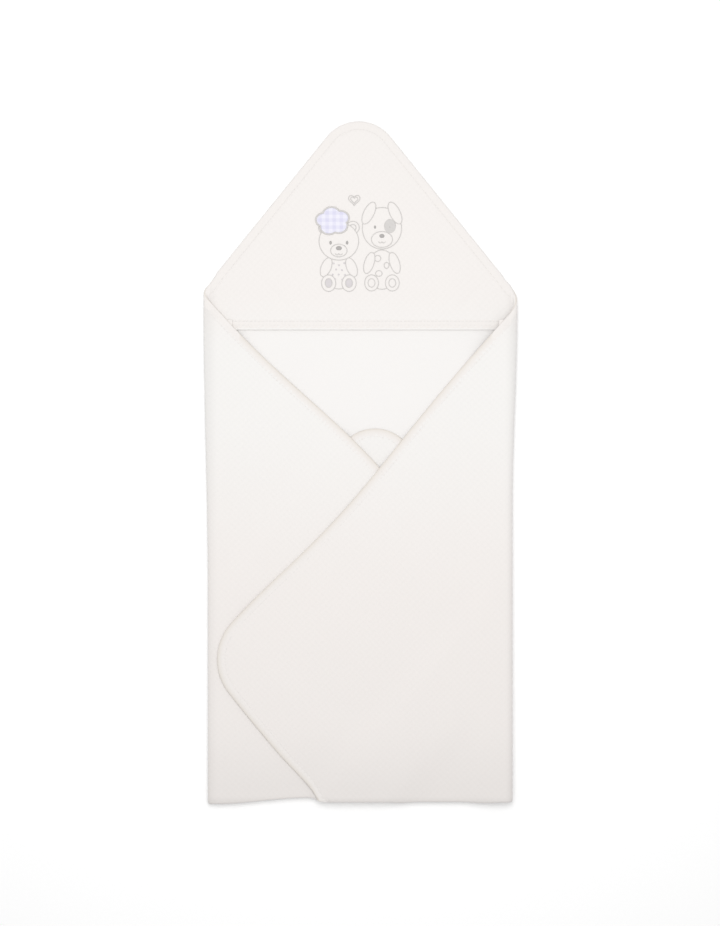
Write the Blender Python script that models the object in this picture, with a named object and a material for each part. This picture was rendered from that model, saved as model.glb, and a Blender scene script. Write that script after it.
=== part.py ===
"""Hooded baby towel, folded flat for display.

One equal-sided cloth lies with its hood corner towards +Y. Its bottom corner is folded up,
then the left side and the right side are folded over the middle, so the cloth lies in six
levels. Each folded panel is its own piece, and half-round creases join the levels.
Metres, +Z up; the origin is under the middle of the folded towel, on the surface it lies on.
"""

import math

import bpy
from mathutils import Vector

# Cloth
CUT_SIDE = 0.750                          # side of the cloth as cut
CORNER_HALF_ANGLE = math.radians(39.1)    # between a top edge and the centre line
CLOTH = 0.0017                            # thickness of one layer
LAYER_GAP = 0.0003                        # air between two layers that lie on each other
CORNER_RADIUS = 0.042                     # rounding of the cloth's corners
BINDING_WIDTH = 0.010                     # visible width of the edge binding

# Folds
TURN_UP = 0.4268                          # bottom fold to the unrounded bottom corner
TIP_TO_FOLD = 0.0115                      # a flap's rounded tip to the fold on the other side

# Hood
HOOD_DEPTH = 0.2167                       # hood corner to the hood's mouth
MOUTH_BAND_WIDTH = 0.0105
HOOD_SIDE_CLEARANCE = 0.002               # between the hood and the flaps beside it
HOOD_HINGE_CLEARANCE = 0.0006             # between the hood and the binding round its corner

# Decoration on the hood
STITCH_THICKNESS = 0.0004
HEAD_RADIUS = 0.021
FIGURE_SPACING = 0.044                    # between the two figures' centre lines
FIGURE_HEIGHT_OVER_MOUTH = 0.094          # from the mouth to the figures' head centres
CLOUD_RADIUS = 0.013
CLOUD_LOBES = 5
HEART_SIZE = 0.012

ARC_STEPS = 16
CREASE_STEPS = 12

# Derived places, shared by the pieces that meet there
PITCH = CLOTH + LAYER_GAP
SIDE_SLOPE = math.tan(CORNER_HALF_ANGLE)
HALF_DIAGONAL_X = CUT_SIDE * math.sin(CORNER_HALF_ANGLE)
HALF_DIAGONAL_Y = CUT_SIDE * math.cos(CORNER_HALF_ANGLE)
HOOD_SETBACK = CORNER_RADIUS * (1 / math.sin(CORNER_HALF_ANGLE) - 1)
SIDE_SETBACK = CORNER_RADIUS * (1 / math.cos(CORNER_HALF_ANGLE) - 1)
FOLDED_LENGTH = 2 * HALF_DIAGONAL_Y - HOOD_SETBACK - TURN_UP
FOLDED_HALF_WIDTH = (HALF_DIAGONAL_X - SIDE_SETBACK + TIP_TO_FOLD) / 3
HOOD_CORNER_Y = FOLDED_LENGTH / 2 + HOOD_SETBACK
MIDDLE_Y = HOOD_CORNER_Y - HALF_DIAGONAL_Y
BOTTOM_FOLD_Y = -FOLDED_LENGTH / 2
MOUTH_Y = FOLDED_LENGTH / 2 - HOOD_DEPTH

# Level of each layer, counted from the surface the towel lies on
BACK, BOTTOM_FLAP = 0, 1
TUCK_LEVEL = {-1: 2, 1: 4}                # side -1 is the left, 1 the right
FLAP_LEVEL = {-1: 3, 1: 5}
SIDE_NAME = {-1: "left", 1: "right"}

WHITE = (0.90, 0.89, 0.87)
BINDING_WHITE = (0.91, 0.90, 0.89)
LAVENDER = (0.72, 0.72, 0.84)
THREAD_GREY = (0.62, 0.60, 0.60)

TOWEL = "hooded_baby_towel"
CUTTERS = "cutters"


def clear_scene():
    """Remove what a new Blender file holds."""
    for obj in list(bpy.data.objects):
        bpy.data.objects.remove(obj, do_unlink=True)


def collection(name):
    """Return a collection of that name, linked to the scene."""
    found = bpy.data.collections.get(name)
    if found is None:
        found = bpy.data.collections.new(name)
        bpy.context.scene.collection.children.link(found)
    return found


def material(name, colour, roughness):
    """Return a plain cloth or thread material."""
    made = bpy.data.materials.new(name)
    made.use_nodes = True
    shader = made.node_tree.nodes["Principled BSDF"]
    shader.inputs["Base Color"].default_value = (*colour, 1.0)
    shader.inputs["Roughness"].default_value = roughness
    shader.inputs["Metallic"].default_value = 0.0
    return made


# ---------------------------------------------------------------- plan geometry

class Line:
    """A straight line in the plan, through a point in a direction."""

    def __init__(self, point, direction):
        self.point = Vector(point)
        self.direction = Vector(direction).normalized()

    def meet(self, other):
        """Return the point where two lines cross."""
        across = other.direction.orthogonal()
        steps = (other.point - self.point).dot(across) / self.direction.dot(across)
        return self.point + steps * self.direction

    def moved(self, side, distance):
        """Return the parallel line that lies a distance away, on the side of a point."""
        across = self.direction.orthogonal().normalized()
        if (Vector(side) - self.point).dot(across) < 0:
            across.negate()
        return Line(self.point + distance * across, self.direction)


def vertical(x):
    """Return the line at one x."""
    return Line((x, 0), (0, 1))


def horizontal(y):
    """Return the line at one y."""
    return Line((0, y), (1, 0))


def clip(outline, line, keep):
    """Return the part of an outline that lies on the same side of a line as a point."""
    across = line.direction.orthogonal()
    if (Vector(keep) - line.point).dot(across) < 0:
        across.negate()
    kept = []
    for start, end in zip(outline, [*outline[1:], outline[0]]):
        before, after = [(Vector(p) - line.point).dot(across) for p in (start, end)]
        if before >= 0:
            kept.append(start)
        if before * after < 0:
            kept.append(Vector(start).lerp(Vector(end), before / (before - after)))
    return kept


class RoundedCorner:
    """A corner of the cloth: two cut edges that meet in an arc."""

    def __init__(self, corner, towards_first, towards_second):
        self.first = Vector(towards_first).normalized()
        self.second = Vector(towards_second).normalized()
        half_angle = self.first.angle(self.second) / 2
        inwards = (self.first + self.second).normalized()
        self.centre = Vector(corner) + inwards * CORNER_RADIUS / math.sin(half_angle)

    def outward_normal(self, edge):
        """Return the direction out of the cloth across one edge."""
        across = edge.orthogonal().normalized()
        inwards = (self.first + self.second) / 2
        if across.dot(inwards) > 0:
            across.negate()
        return across

    def path(self, inset, first_end, second_end):
        """Return the points along both edges, moved inwards, between two end lines."""
        radius = CORNER_RADIUS - inset
        start, stop = self.outward_normal(self.first), self.outward_normal(self.second)
        turn = start.angle_signed(stop)
        arc = []
        for step in range(ARC_STEPS + 1):
            angle = -turn * step / ARC_STEPS
            across = Vector((start.x * math.cos(angle) - start.y * math.sin(angle),
                             start.x * math.sin(angle) + start.y * math.cos(angle)))
            arc.append(self.centre + radius * across)
        first = Line(arc[0], self.first).meet(first_end)
        second = Line(arc[-1], self.second).meet(second_end)
        return [first, *arc, second]

    def binding(self, first_end, second_end):
        """Return the outline of the binding along the cut edges."""
        outer = self.path(0, first_end, second_end)
        inner = self.path(BINDING_WIDTH, first_end, second_end)
        return outer + inner[::-1]

    def panel_edge(self, first_end, second_end, clearance=LAYER_GAP):
        """Return the cloth's edge beside the binding."""
        return self.path(BINDING_WIDTH + clearance, first_end, second_end)


def level_z(level):
    """Return the middle height of a layer."""
    return level * PITCH + CLOTH / 2


def crease_radius(lower, upper):
    """Return the mid-cloth radius of the crease that joins two levels."""
    return (upper - lower) * PITCH / 2


def crease_x(side):
    """Return where the flat cloth ends and the side creases start."""
    outermost = FOLDED_HALF_WIDTH - CLOTH / 2 - crease_radius(BACK, FLAP_LEVEL[side])
    return side * outermost


def side_hinge(side):
    """Return a point on a side fold's axis: the middle of the cloth at its outermost line."""
    height = (level_z(BACK) + level_z(FLAP_LEVEL[side])) / 2
    return Vector((side * (FOLDED_HALF_WIDTH - CLOTH / 2), 0, height))


CREASE_Y = BOTTOM_FOLD_Y + CLOTH / 2 + crease_radius(BACK, BOTTOM_FLAP) + LAYER_GAP
TOP_EDGE = {side: Line((0, HOOD_CORNER_Y), (side * SIDE_SLOPE, -1)) for side in (-1, 1)}
FOLD_TOP_Y = TOP_EDGE[1].meet(vertical(FOLDED_HALF_WIDTH)).y
BOTTOM_CORNER_Y = BOTTOM_FOLD_Y + TURN_UP

HOOD_CORNER = RoundedCorner((0, HOOD_CORNER_Y), (-SIDE_SLOPE, -1), (SIDE_SLOPE, -1))
BOTTOM_CORNER = RoundedCorner((0, BOTTOM_CORNER_Y), (-SIDE_SLOPE, -1), (SIDE_SLOPE, -1))


def side_corner(side):
    """Return the side corner of the cloth, as it lies after its flap is folded over."""
    tip_x = side * (2 * FOLDED_HALF_WIDTH - HALF_DIAGONAL_X)
    return RoundedCorner((tip_x, MIDDLE_Y), (side * SIDE_SLOPE, 1), (side * SIDE_SLOPE, -1))


def tuck_edge(side):
    """Return the bottom corner's cut edge where it is folded in with a side flap."""
    unfolded = Line((0, BOTTOM_CORNER_Y), (side * SIDE_SLOPE, -1))
    on_fold = unfolded.meet(vertical(side * FOLDED_HALF_WIDTH))
    return Line(on_fold, (-side * SIDE_SLOPE, -1))


# ---------------------------------------------------------------- making pieces

def place(obj, at, hinge):
    """Put a piece at its place, under its hinge if it has one."""
    if hinge is None:
        obj.location = at
        return
    obj.parent = hinge
    obj.location = Vector(at) - hinge.location


def flat_piece(name, outline, level, finish, hinge=None, thickness=CLOTH, lift=0.0):
    """Make a flat piece of cloth from its outline at a level."""
    curve = bpy.data.curves.new(name, "CURVE")
    curve.dimensions = "2D"
    curve.fill_mode = "BOTH"
    curve.extrude = thickness / 2
    spline = curve.splines.new("POLY")
    spline.points.add(len(outline) - 1)
    for point, (x, y) in zip(spline.points, outline):
        point.co = (x, y, 0, 1)
    spline.use_cyclic_u = True
    curve.materials.append(finish)
    obj = bpy.data.objects.new(name, curve)
    collection(TOWEL).objects.link(obj)
    place(obj, (0, 0, level_z(level) + lift), hinge)
    return obj


def half_ring(lower, upper, outwards):
    """Return the profile of a crease between two levels, open towards the cloth."""
    radius = crease_radius(lower, upper)
    angles = [math.pi * (step / CREASE_STEPS - 0.5) for step in range(CREASE_STEPS + 1)]
    rings = [[(outwards * r * math.cos(a), r * math.sin(a)) for a in angles]
             for r in (radius + CLOTH / 2, radius - CLOTH / 2)]
    return rings[0] + rings[1][::-1]


def crease(name, profile, at, length, turn, finish, hinge=None):
    """Make a crease by drawing its profile out along the fold."""
    obj = flat_piece(name, profile, BACK, finish, thickness=length)
    obj.rotation_euler = turn
    place(obj, at, hinge)
    return obj


def side_crease(name, side, lower, upper, top_y, finish):
    """Make a crease along a side fold, from the bottom fold up to top_y."""
    height = (level_z(lower) + level_z(upper)) / 2
    middle_y = (CREASE_Y + top_y) / 2
    return crease(name, half_ring(lower, upper, side), (crease_x(side), middle_y, height),
                  top_y - CREASE_Y, (math.pi / 2, 0, 0), finish)


def bottom_crease(name, lower, upper, first_x, second_x, finish, hinge=None):
    """Make a crease along the bottom fold between two places across the towel."""
    height = (level_z(lower) + level_z(upper)) / 2
    at = ((first_x + second_x) / 2, CREASE_Y - LAYER_GAP, height)
    return crease(name, half_ring(lower, upper, 1), at, abs(second_x - first_x),
                  (math.pi / 2, 0, -math.pi / 2), finish, hinge)


def hinge_empty(name, at):
    """Return an empty that marks a joint's axis."""
    hinge = bpy.data.objects.new(name, None)
    hinge.location = at
    collection(TOWEL).objects.link(hinge)
    return hinge


# ---------------------------------------------------------------- sub-assemblies

def build_back():
    """Make the panel that lies on the table, its bound top edges and the folded-up corner."""
    quilted = material("back_quilted_cloth", WHITE, 0.95)
    bound = material("back_binding_cloth", BINDING_WHITE, 0.85)
    left, right = crease_x(-1) + LAYER_GAP, crease_x(1) - LAYER_GAP
    ends = vertical(left), vertical(right)

    panel = HOOD_CORNER.panel_edge(*ends) + [(right, CREASE_Y), (left, CREASE_Y)]
    flat_piece("back_panel", panel, BACK, quilted)

    binding = HOOD_CORNER.binding(*ends)
    lift = crease_radius(BACK, BOTTOM_FLAP)
    flat_piece("hood_seam_binding", binding, BACK, bound, thickness=CLOTH + PITCH, lift=lift)

    corner = BOTTOM_CORNER.panel_edge(*ends) + [(right, CREASE_Y), (left, CREASE_Y)]
    flat_piece("bottom_flap_panel", corner, BOTTOM_FLAP, quilted)
    flat_piece("bottom_flap_binding", BOTTOM_CORNER.binding(*ends), BOTTOM_FLAP, bound)
    bottom_crease("bottom_crease", BACK, BOTTOM_FLAP, left, right, quilted)


def build_hood(hinge):
    """Make the hood and its mouth band, clear of the flaps that lie beside it."""
    quilted = material("hood_quilted_cloth", WHITE, 0.95)
    bound = material("mouth_band_cloth", BINDING_WHITE, 0.85)
    foot = horizontal(BOTTOM_FOLD_Y)
    area = HOOD_CORNER.panel_edge(foot, foot, clearance=HOOD_HINGE_CLEARANCE)
    apex = (0, FOLDED_LENGTH / 2)
    for side in (-1, 1):
        area = clip(area, vertical(crease_x(side) - side * LAYER_GAP), apex)
        area = clip(area, beside_flap(side), apex)

    band_top = MOUTH_Y + MOUTH_BAND_WIDTH
    panel = clip(area, horizontal(band_top + LAYER_GAP), apex)
    flat_piece("hood_panel", panel, BOTTOM_FLAP, quilted, hinge)
    band = clip(clip(area, horizontal(MOUTH_Y), apex), horizontal(band_top), (0, MOUTH_Y))
    flat_piece("hood_mouth_band", band, BOTTOM_FLAP, bound, hinge)


def flap_top_edge(side):
    """Return the line of a flap's top edge, as it lies folded."""
    return Line((side * FOLDED_HALF_WIDTH, FOLD_TOP_Y), (-side * SIDE_SLOPE, -1))


def beside_flap(side):
    """Return the line that the hood keeps to, beside a flap's top edge."""
    return flap_top_edge(side).moved((0, FOLDED_LENGTH), HOOD_SIDE_CLEARANCE)


def build_flap(side, hinge):
    """Make a side flap with the parts of the hood and bottom corner folded in under it."""
    name = SIDE_NAME[side]
    quilted = material(f"{name}_quilted_cloth", WHITE, 0.95)
    bound = material(f"{name}_binding_cloth", BINDING_WHITE, 0.85)
    flap, tuck = FLAP_LEVEL[side], TUCK_LEVEL[side]
    root_x = crease_x(side) - side * LAYER_GAP
    ends = vertical(root_x), horizontal(CREASE_Y)

    corner = side_corner(side)
    panel = corner.panel_edge(*ends) + [(root_x, CREASE_Y)]
    flat_piece(f"{name}_flap_panel", panel, flap, quilted, hinge)
    flat_piece(f"{name}_flap_binding", corner.binding(*ends), flap, bound, hinge)

    edge = tuck_edge(side)
    inside = (side * FOLDED_HALF_WIDTH, BOTTOM_FOLD_Y)
    hem = edge.moved(inside, BINDING_WIDTH)
    limit = edge.moved(inside, BINDING_WIDTH + LAYER_GAP)
    flat_piece(f"{name}_tuck_panel",
               [limit.meet(ends[0]), (root_x, CREASE_Y), limit.meet(ends[1])],
               tuck, quilted, hinge)
    flat_piece(f"{name}_tuck_binding",
               [edge.meet(ends[0]), hem.meet(ends[0]), hem.meet(ends[1]), edge.meet(ends[1])],
               tuck, bound, hinge)

    flap_top, mouth = flap_top_edge(side), horizontal(MOUTH_Y)
    flat_piece(f"{name}_hood_corner",
               [flap_top.meet(ends[0]), mouth.meet(ends[0]), mouth.meet(flap_top)],
               tuck, quilted, hinge)

    tip_x = hem.meet(ends[1]).x
    bottom_crease(f"{name}_flap_bottom_crease", tuck, flap, root_x, tip_x, quilted, hinge)
    tuck_top = tuck_edge(side).meet(vertical(side * FOLDED_HALF_WIDTH)).y
    side_crease(f"{name}_tuck_crease", side, BOTTOM_FLAP, tuck, tuck_top, quilted)
    side_crease(f"{name}_side_crease", side, BACK, flap, FOLD_TOP_Y, quilted)


# ---------------------------------------------------------------- decoration

def disc(name, centre, radii, level_height, where):
    """Make a flat stitched disc, round or oval."""
    bpy.ops.mesh.primitive_cylinder_add(vertices=32, radius=1, depth=1)
    obj = bpy.context.active_object
    obj.name = obj.data.name = name
    for vertex in obj.data.vertices:
        vertex.co.x *= radii[0]
        vertex.co.y *= radii[1]
        vertex.co.z *= STITCH_THICKNESS
    obj.location = (*centre, level_height)
    for owner in list(obj.users_collection):
        owner.objects.unlink(obj)
    collection(where).objects.link(obj)
    return obj


def stitched_figure(name, discs, height, colour, hinge):
    """Make one embroidered figure as a union of discs."""
    body = disc(name, *discs[0], height, TOWEL)
    body.data.materials.append(material(f"{name}_thread", colour, 0.6))
    for number, (centre, radii) in enumerate(discs[1:], 1):
        part = disc(f"{name}_part_{number}", centre, radii, height, CUTTERS)
        part.hide_render = True
        part.display_type = "WIRE"
        union = body.modifiers.new(f"part_{number}", "BOOLEAN")
        union.operation = "UNION"
        union.object = part
    place(body, body.location.copy(), hinge)
    return body


def figure_discs(head_x, ear_spread, ear_rise, ear_radii):
    """Return the discs of a seated toy animal: body, head, two ears and two feet."""
    head_y = MOUTH_Y + FIGURE_HEIGHT_OVER_MOUTH
    r = HEAD_RADIUS
    discs = [((head_x, head_y - 1.45 * r), (0.80 * r, r)), ((head_x, head_y), (r, 0.9 * r))]
    for side in (-1, 1):
        discs.append(((head_x + side * ear_spread * r, head_y + ear_rise * r),
                      (ear_radii[0] * r, ear_radii[1] * r)))
        discs.append(((head_x + side * 0.62 * r, head_y - 2.28 * r), (0.40 * r, 0.36 * r)))
    return discs


def scallop(centre, radius, lobes, depth):
    """Return a cloud outline: a flattened circle with round lobes."""
    points = []
    count = lobes * CREASE_STEPS
    for step in range(count):
        angle = 2 * math.pi * step / count
        reach = radius * (1 + depth * abs(math.sin(angle * lobes / 2)))
        points.append((centre[0] + 1.15 * reach * math.cos(angle),
                       centre[1] + 0.85 * reach * math.sin(angle)))
    return points


def heart(centre, size):
    """Return the outline of a plain heart."""
    points = []
    count = 2 * ARC_STEPS
    for step in range(count):
        angle = 2 * math.pi * step / count
        x = 16 * math.sin(angle) ** 3
        y = (13 * math.cos(angle) - 5 * math.cos(2 * angle)
             - 2 * math.cos(3 * angle) - math.cos(4 * angle))
        points.append((centre[0] + x * size / 32, centre[1] + y * size / 32))
    return points


def build_decoration(hinge):
    """Make the cloud patch, the two animals and the heart, which lie on the hood."""
    first = level_z(BOTTOM_FLAP) + CLOTH / 2 + LAYER_GAP + STITCH_THICKNESS / 2
    second = first + STITCH_THICKNESS + LAYER_GAP
    head_y = MOUTH_Y + FIGURE_HEIGHT_OVER_MOUTH
    bear_x, puppy_x = -FIGURE_SPACING / 2, FIGURE_SPACING / 2
    lift = first - level_z(BOTTOM_FLAP)

    cloud = scallop((bear_x - 0.3 * HEAD_RADIUS, head_y + 0.9 * HEAD_RADIUS),
                    CLOUD_RADIUS, CLOUD_LOBES, 0.25)
    flat_piece("cloud_patch", cloud, BOTTOM_FLAP, material("cloud_cloth", LAVENDER, 0.8),
               hinge, STITCH_THICKNESS, lift)
    stitched_figure("bear_embroidery", figure_discs(bear_x, 0.72, 0.72, (0.36, 0.36)),
                    second, THREAD_GREY, hinge)
    stitched_figure("puppy_embroidery", figure_discs(puppy_x, 0.86, 0.25, (0.28, 0.62)),
                    first, THREAD_GREY, hinge)
    flat_piece("heart_embroidery", heart((0, head_y + 2 * HEAD_RADIUS), HEART_SIZE),
               BOTTOM_FLAP, material("heart_thread", THREAD_GREY, 0.6),
               hinge, STITCH_THICKNESS, lift)


def build_towel():
    """Build the whole towel."""
    clear_scene()
    collection(TOWEL)
    collection(CUTTERS)
    hood_hinge = hinge_empty("hood_hinge", (0, FOLDED_LENGTH / 2 - BINDING_WIDTH,
                                            level_z(BOTTOM_FLAP)))
    build_back()
    build_hood(hood_hinge)
    build_decoration(hood_hinge)
    for side in (-1, 1):
        build_flap(side, hinge_empty(f"{SIDE_NAME[side]}_flap_hinge", side_hinge(side)))


build_towel()
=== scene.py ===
"""Looks of the hooded baby towel: quilted cloth, bindings, stitches and hood decoration.

The towel lies folded flat. Each layer of cloth is a sheet with a small embossed relief,
draped over the layers below it, and half-round creases join the layers at the folds.
"""

import logging
import math
from collections.abc import Callable
from dataclasses import dataclass, field
from enum import Enum
from typing import Any

import bpy
import numpy as np
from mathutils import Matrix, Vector


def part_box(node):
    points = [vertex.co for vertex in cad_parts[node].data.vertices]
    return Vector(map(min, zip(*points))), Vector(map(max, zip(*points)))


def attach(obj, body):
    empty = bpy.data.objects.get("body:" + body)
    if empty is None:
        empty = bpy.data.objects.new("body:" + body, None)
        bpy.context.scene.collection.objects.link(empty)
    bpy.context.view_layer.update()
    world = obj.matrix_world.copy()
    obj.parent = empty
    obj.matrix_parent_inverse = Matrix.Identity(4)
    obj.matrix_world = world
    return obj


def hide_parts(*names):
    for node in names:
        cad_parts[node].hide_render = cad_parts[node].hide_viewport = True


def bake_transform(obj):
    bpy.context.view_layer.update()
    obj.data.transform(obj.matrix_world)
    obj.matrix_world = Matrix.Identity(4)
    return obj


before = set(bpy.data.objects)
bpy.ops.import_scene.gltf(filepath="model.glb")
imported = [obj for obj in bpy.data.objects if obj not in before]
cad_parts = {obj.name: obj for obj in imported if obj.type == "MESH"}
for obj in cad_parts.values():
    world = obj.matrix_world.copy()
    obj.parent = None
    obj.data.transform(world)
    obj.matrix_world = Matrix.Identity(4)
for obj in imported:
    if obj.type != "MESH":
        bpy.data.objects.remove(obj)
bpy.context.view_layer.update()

LOG = logging.getLogger("towel")
Array = np.ndarray
Colour = tuple[float, float, float]

# Cloth, shared by all sheets
CLOTH = 0.0017            # one layer, with its embossed relief
PITCH = 0.0020            # one layer and the air above it
EMBOSS_PERIOD = 0.0070    # one diamond across
EMBOSS_DEPTH = 0.00024
BINDING_WIDTH = 0.0100
TUCKED_UNDER_BINDING = 0.0040

CREASE_STEPS = 14         # faces round a side crease
HEM_STEPS = 10            # faces round the bottom crease
CAP_STEPS = 8             # faces where a side crease turns over the bottom one
TIGHTEST = 0.00012        # the least radius of a binding's inner face at a crease

STITCH_HALF_WIDTH = 0.0003
STITCH_RISE = 0.00016
STITCH_ROOT = 0.0004

LEAST_SIDE = 0.0101       # the narrowest flat size that a sheet is given
LEAST_SHARE = 0.301       # the least share of its flat rectangle that a sheet is given


class Side(Enum):
    """The two sides of the towel, seen from above with the hood at the top."""

    LEFT = -1
    RIGHT = 1

    @property
    def sign(self) -> int:
        """Return -1 for the left and 1 for the right."""
        return self.value

    @property
    def word(self) -> str:
        """Return the side's name in lower case."""
        return self.name.lower()

    @property
    def body(self) -> str:
        """Return the CAD body of the flap on this side."""
        return f"{self.word}_flap"


# ------------------------------------------------------------------ small geometry

def smooth(value: Array) -> Array:
    """Ease a ramp from 0 to 1.

    Args:
        value: the ramp, which may run past 0 and 1.

    Returns:
        The eased ramp.
    """
    held = np.clip(value, 0.0, 1.0)
    return held * held * (3.0 - 2.0 * held)


def unit(vectors: Array) -> Array:
    """Return vectors scaled to length 1 along the last axis."""
    return vectors / np.maximum(np.linalg.norm(vectors, axis=-1, keepdims=True), 1e-12)


def bowed(start: Array, end: Array, bow: float, peak: float = 0.5, count: int = 60) -> Array:
    """Draw an edge that bows to its left.

    Args:
        start: the first point.
        end: the last point.
        bow: how far the edge stands out to the left of its chord.
        peak: where along the edge it stands out most, from 0 to 1.
        count: how many spans.

    Returns:
        The points along the edge.
    """
    t = np.linspace(0.0, 1.0, count + 1)[:, None]
    along = end - start
    left = unit(np.array([-along[1], along[0]]))
    skew = math.log(0.5) / math.log(peak)
    return start + along * t + left * bow * np.sin(math.pi * t**skew) ** 2


def rounded(before: Array, corner: Array, after: Array, radius: float, count: int = 24) -> Array:
    """Draw the arc that rounds a corner between two straight edges.

    Args:
        before: a point on the first edge.
        corner: the sharp corner.
        after: a point on the second edge.
        radius: the arc's radius.
        count: how many spans.

    Returns:
        The points along the arc, from the first edge to the second.
    """
    first, second = unit(before - corner), unit(after - corner)
    half = math.acos(float(np.clip(first @ second, -1, 1))) / 2
    centre = corner + unit(first + second) * radius / math.sin(half)
    reach = radius / math.tan(half)
    start, stop = corner + first * reach - centre, corner + second * reach - centre
    turn = math.atan2(start[0] * stop[1] - start[1] * stop[0], float(start @ stop))
    angles = np.linspace(0.0, turn, count + 1)
    base = math.atan2(start[1], start[0])
    return centre + radius * np.stack([np.cos(base + angles), np.sin(base + angles)], axis=1)


def resampled(path: Array, spacing: float) -> Array:
    """Space a path's points evenly along it.

    Args:
        path: the points.
        spacing: about how far apart the new points are.

    Returns:
        The new points, from the path's first to its last.
    """
    lengths = np.concatenate([[0.0], np.cumsum(np.linalg.norm(np.diff(path, axis=0), axis=1))])
    count = max(2, int(round(lengths[-1] / spacing)))
    at = np.linspace(0.0, lengths[-1], count + 1)
    return np.stack([np.interp(at, lengths, path[:, i]) for i in range(path.shape[1])], axis=1)


def distance_to(path: Array, x: Array, y: Array) -> Array:
    """Measure how far each place in the plan is from a path.

    Args:
        path: the path's points.
        x: places across.
        y: places along.

    Returns:
        The distance at each place.
    """
    best = np.full(x.shape, 1e9)
    for (ax, ay), (bx, by) in zip(path[:-1], path[1:]):
        dx, dy = bx - ax, by - ay
        t = np.clip(((x - ax) * dx + (y - ay) * dy) / max(dx * dx + dy * dy, 1e-18), 0, 1)
        best = np.minimum(best, (x - ax - t * dx) ** 2 + (y - ay - t * dy) ** 2)
    return np.sqrt(best)


def inside(outline: Array, x: Array, y: Array) -> Array:
    """Tell which places in the plan lie inside a closed outline.

    Args:
        outline: the outline's points.
        x: places across.
        y: places along.

    Returns:
        True at each place inside.
    """
    found = np.zeros(x.shape, bool)
    for (ax, ay), (bx, by) in zip(outline, np.roll(outline, -1, axis=0)):
        if ay == by:
            continue
        crosses = (ay > y) != (by > y)
        found ^= crosses & (x < ax + (y - ay) * (bx - ax) / (by - ay))
    return found


def waves(x: Array, y: Array, length: float, seed: int) -> Array:
    """Return a smooth irregular swell between about -1 and 1.

    Args:
        x: places across.
        y: places along.
        length: the size of its hills.
        seed: which swell.

    Returns:
        The swell's height at each place.
    """
    random = np.random.default_rng(seed)
    total = np.zeros(x.shape)
    for _ in range(7):
        heading, phase = random.uniform(0, 2 * math.pi, 2)
        stretch = random.uniform(0.7, 1.6)
        along = x * math.cos(heading) + y * math.sin(heading)
        total += np.sin(2 * math.pi * along / (length * stretch) + phase)
    return total / 3.0


# ------------------------------------------------------------------ meshes

def signed_volume(verts: Array, faces: list) -> float:
    """Return six times the volume inside the faces, negative where they face inwards."""
    fans = [(f[0], f[i], f[i + 1]) for f in faces for i in range(1, len(f) - 1)]
    a, b, c = (verts[[fan[k] for fan in fans]] for k in range(3))
    return float(np.sum(a * np.cross(b, c)))


def new_object(name: str, verts: Array, faces: list | Array, uvs: Array | None = None,
               slots: Array | None = None, sharp: float = 50.0) -> bpy.types.Object:
    """Make an object from points and faces, facing outwards.

    Args:
        name: the piece's name.
        verts: the points, one row each.
        faces: the corners of each face.
        uvs: a flat place for each point.
        slots: each face's material slot.
        sharp: edges that turn more than this many degrees stay crisp.

    Returns:
        The object, linked to the scene.
    """
    faces = [tuple(int(i) for i in face) for face in faces]
    if signed_volume(verts, faces) < 0:
        faces = [face[::-1] for face in faces]
    mesh = bpy.data.meshes.new(name)
    mesh.from_pydata(verts.tolist(), [], faces)
    if uvs is not None:
        layer = mesh.uv_layers.new(name="UVMap")
        loops = np.zeros(len(mesh.loops), int)
        mesh.loops.foreach_get("vertex_index", loops)
        layer.data.foreach_set("uv", np.asarray(uvs, np.float32)[loops].ravel())
    if slots is not None:
        mesh.polygons.foreach_set("material_index", np.asarray(slots, np.int32))
    mesh.shade_smooth()
    mesh.set_sharp_from_angle(angle=math.radians(sharp))
    mesh.update()
    obj = bpy.data.objects.new(name, mesh)
    bpy.context.scene.collection.objects.link(obj)
    return obj


def shell(name: str, outer: Array, inner: Array, keep: Array, flat: Array) -> bpy.types.Object:
    """Make a closed sheet of cloth between two grids of points.

    Args:
        name: the piece's name.
        outer: the outer face's points, rows by columns.
        inner: the inner face's points.
        keep: which cells of the grid are cloth.
        flat: each point's place on the flat cloth, for the patterns.

    Returns:
        The sheet, with its outer face in slot 0 and its inner face in slot 1.
    """
    rows, columns = outer.shape[:2]
    index = np.arange(rows * columns).reshape(rows, columns)
    a, b = index[:-1, :-1], index[:-1, 1:]
    c, d = index[1:, 1:], index[1:, :-1]
    top = np.stack([a[keep], b[keep], c[keep], d[keep]], axis=1)
    shift = rows * columns
    padded = np.pad(keep, 1)
    rims = []
    for first, second, beside in ((a, b, padded[:-2, 1:-1]), (b, c, padded[1:-1, 2:]),
                                  (c, d, padded[2:, 1:-1]), (d, a, padded[1:-1, :-2])):
        edge = keep & ~beside
        p, q = first[edge], second[edge]
        rims.append(np.stack([q, p, p + shift, q + shift], axis=1))
    rim = np.concatenate(rims)
    faces = np.concatenate([top, top[:, ::-1] + shift, rim])
    slots = np.concatenate([np.zeros(len(top)), np.ones(len(top)), np.zeros(len(rim))])
    verts = np.concatenate([outer.reshape(-1, 3), inner.reshape(-1, 3)])
    uvs = np.concatenate([flat.reshape(-1, 2)] * 2)
    used, renumbered = np.unique(faces, return_inverse=True)
    return new_object(name, verts[used], renumbered.reshape(faces.shape), uvs[used], slots)


def ring_faces(rings: Array, following: Array) -> Array:
    """Return the faces between rings of point numbers and the rings that follow them."""
    return np.stack([rings, np.roll(rings, -1, axis=1),
                     np.roll(following, -1, axis=1), following], axis=2).reshape(-1, 4)


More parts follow.
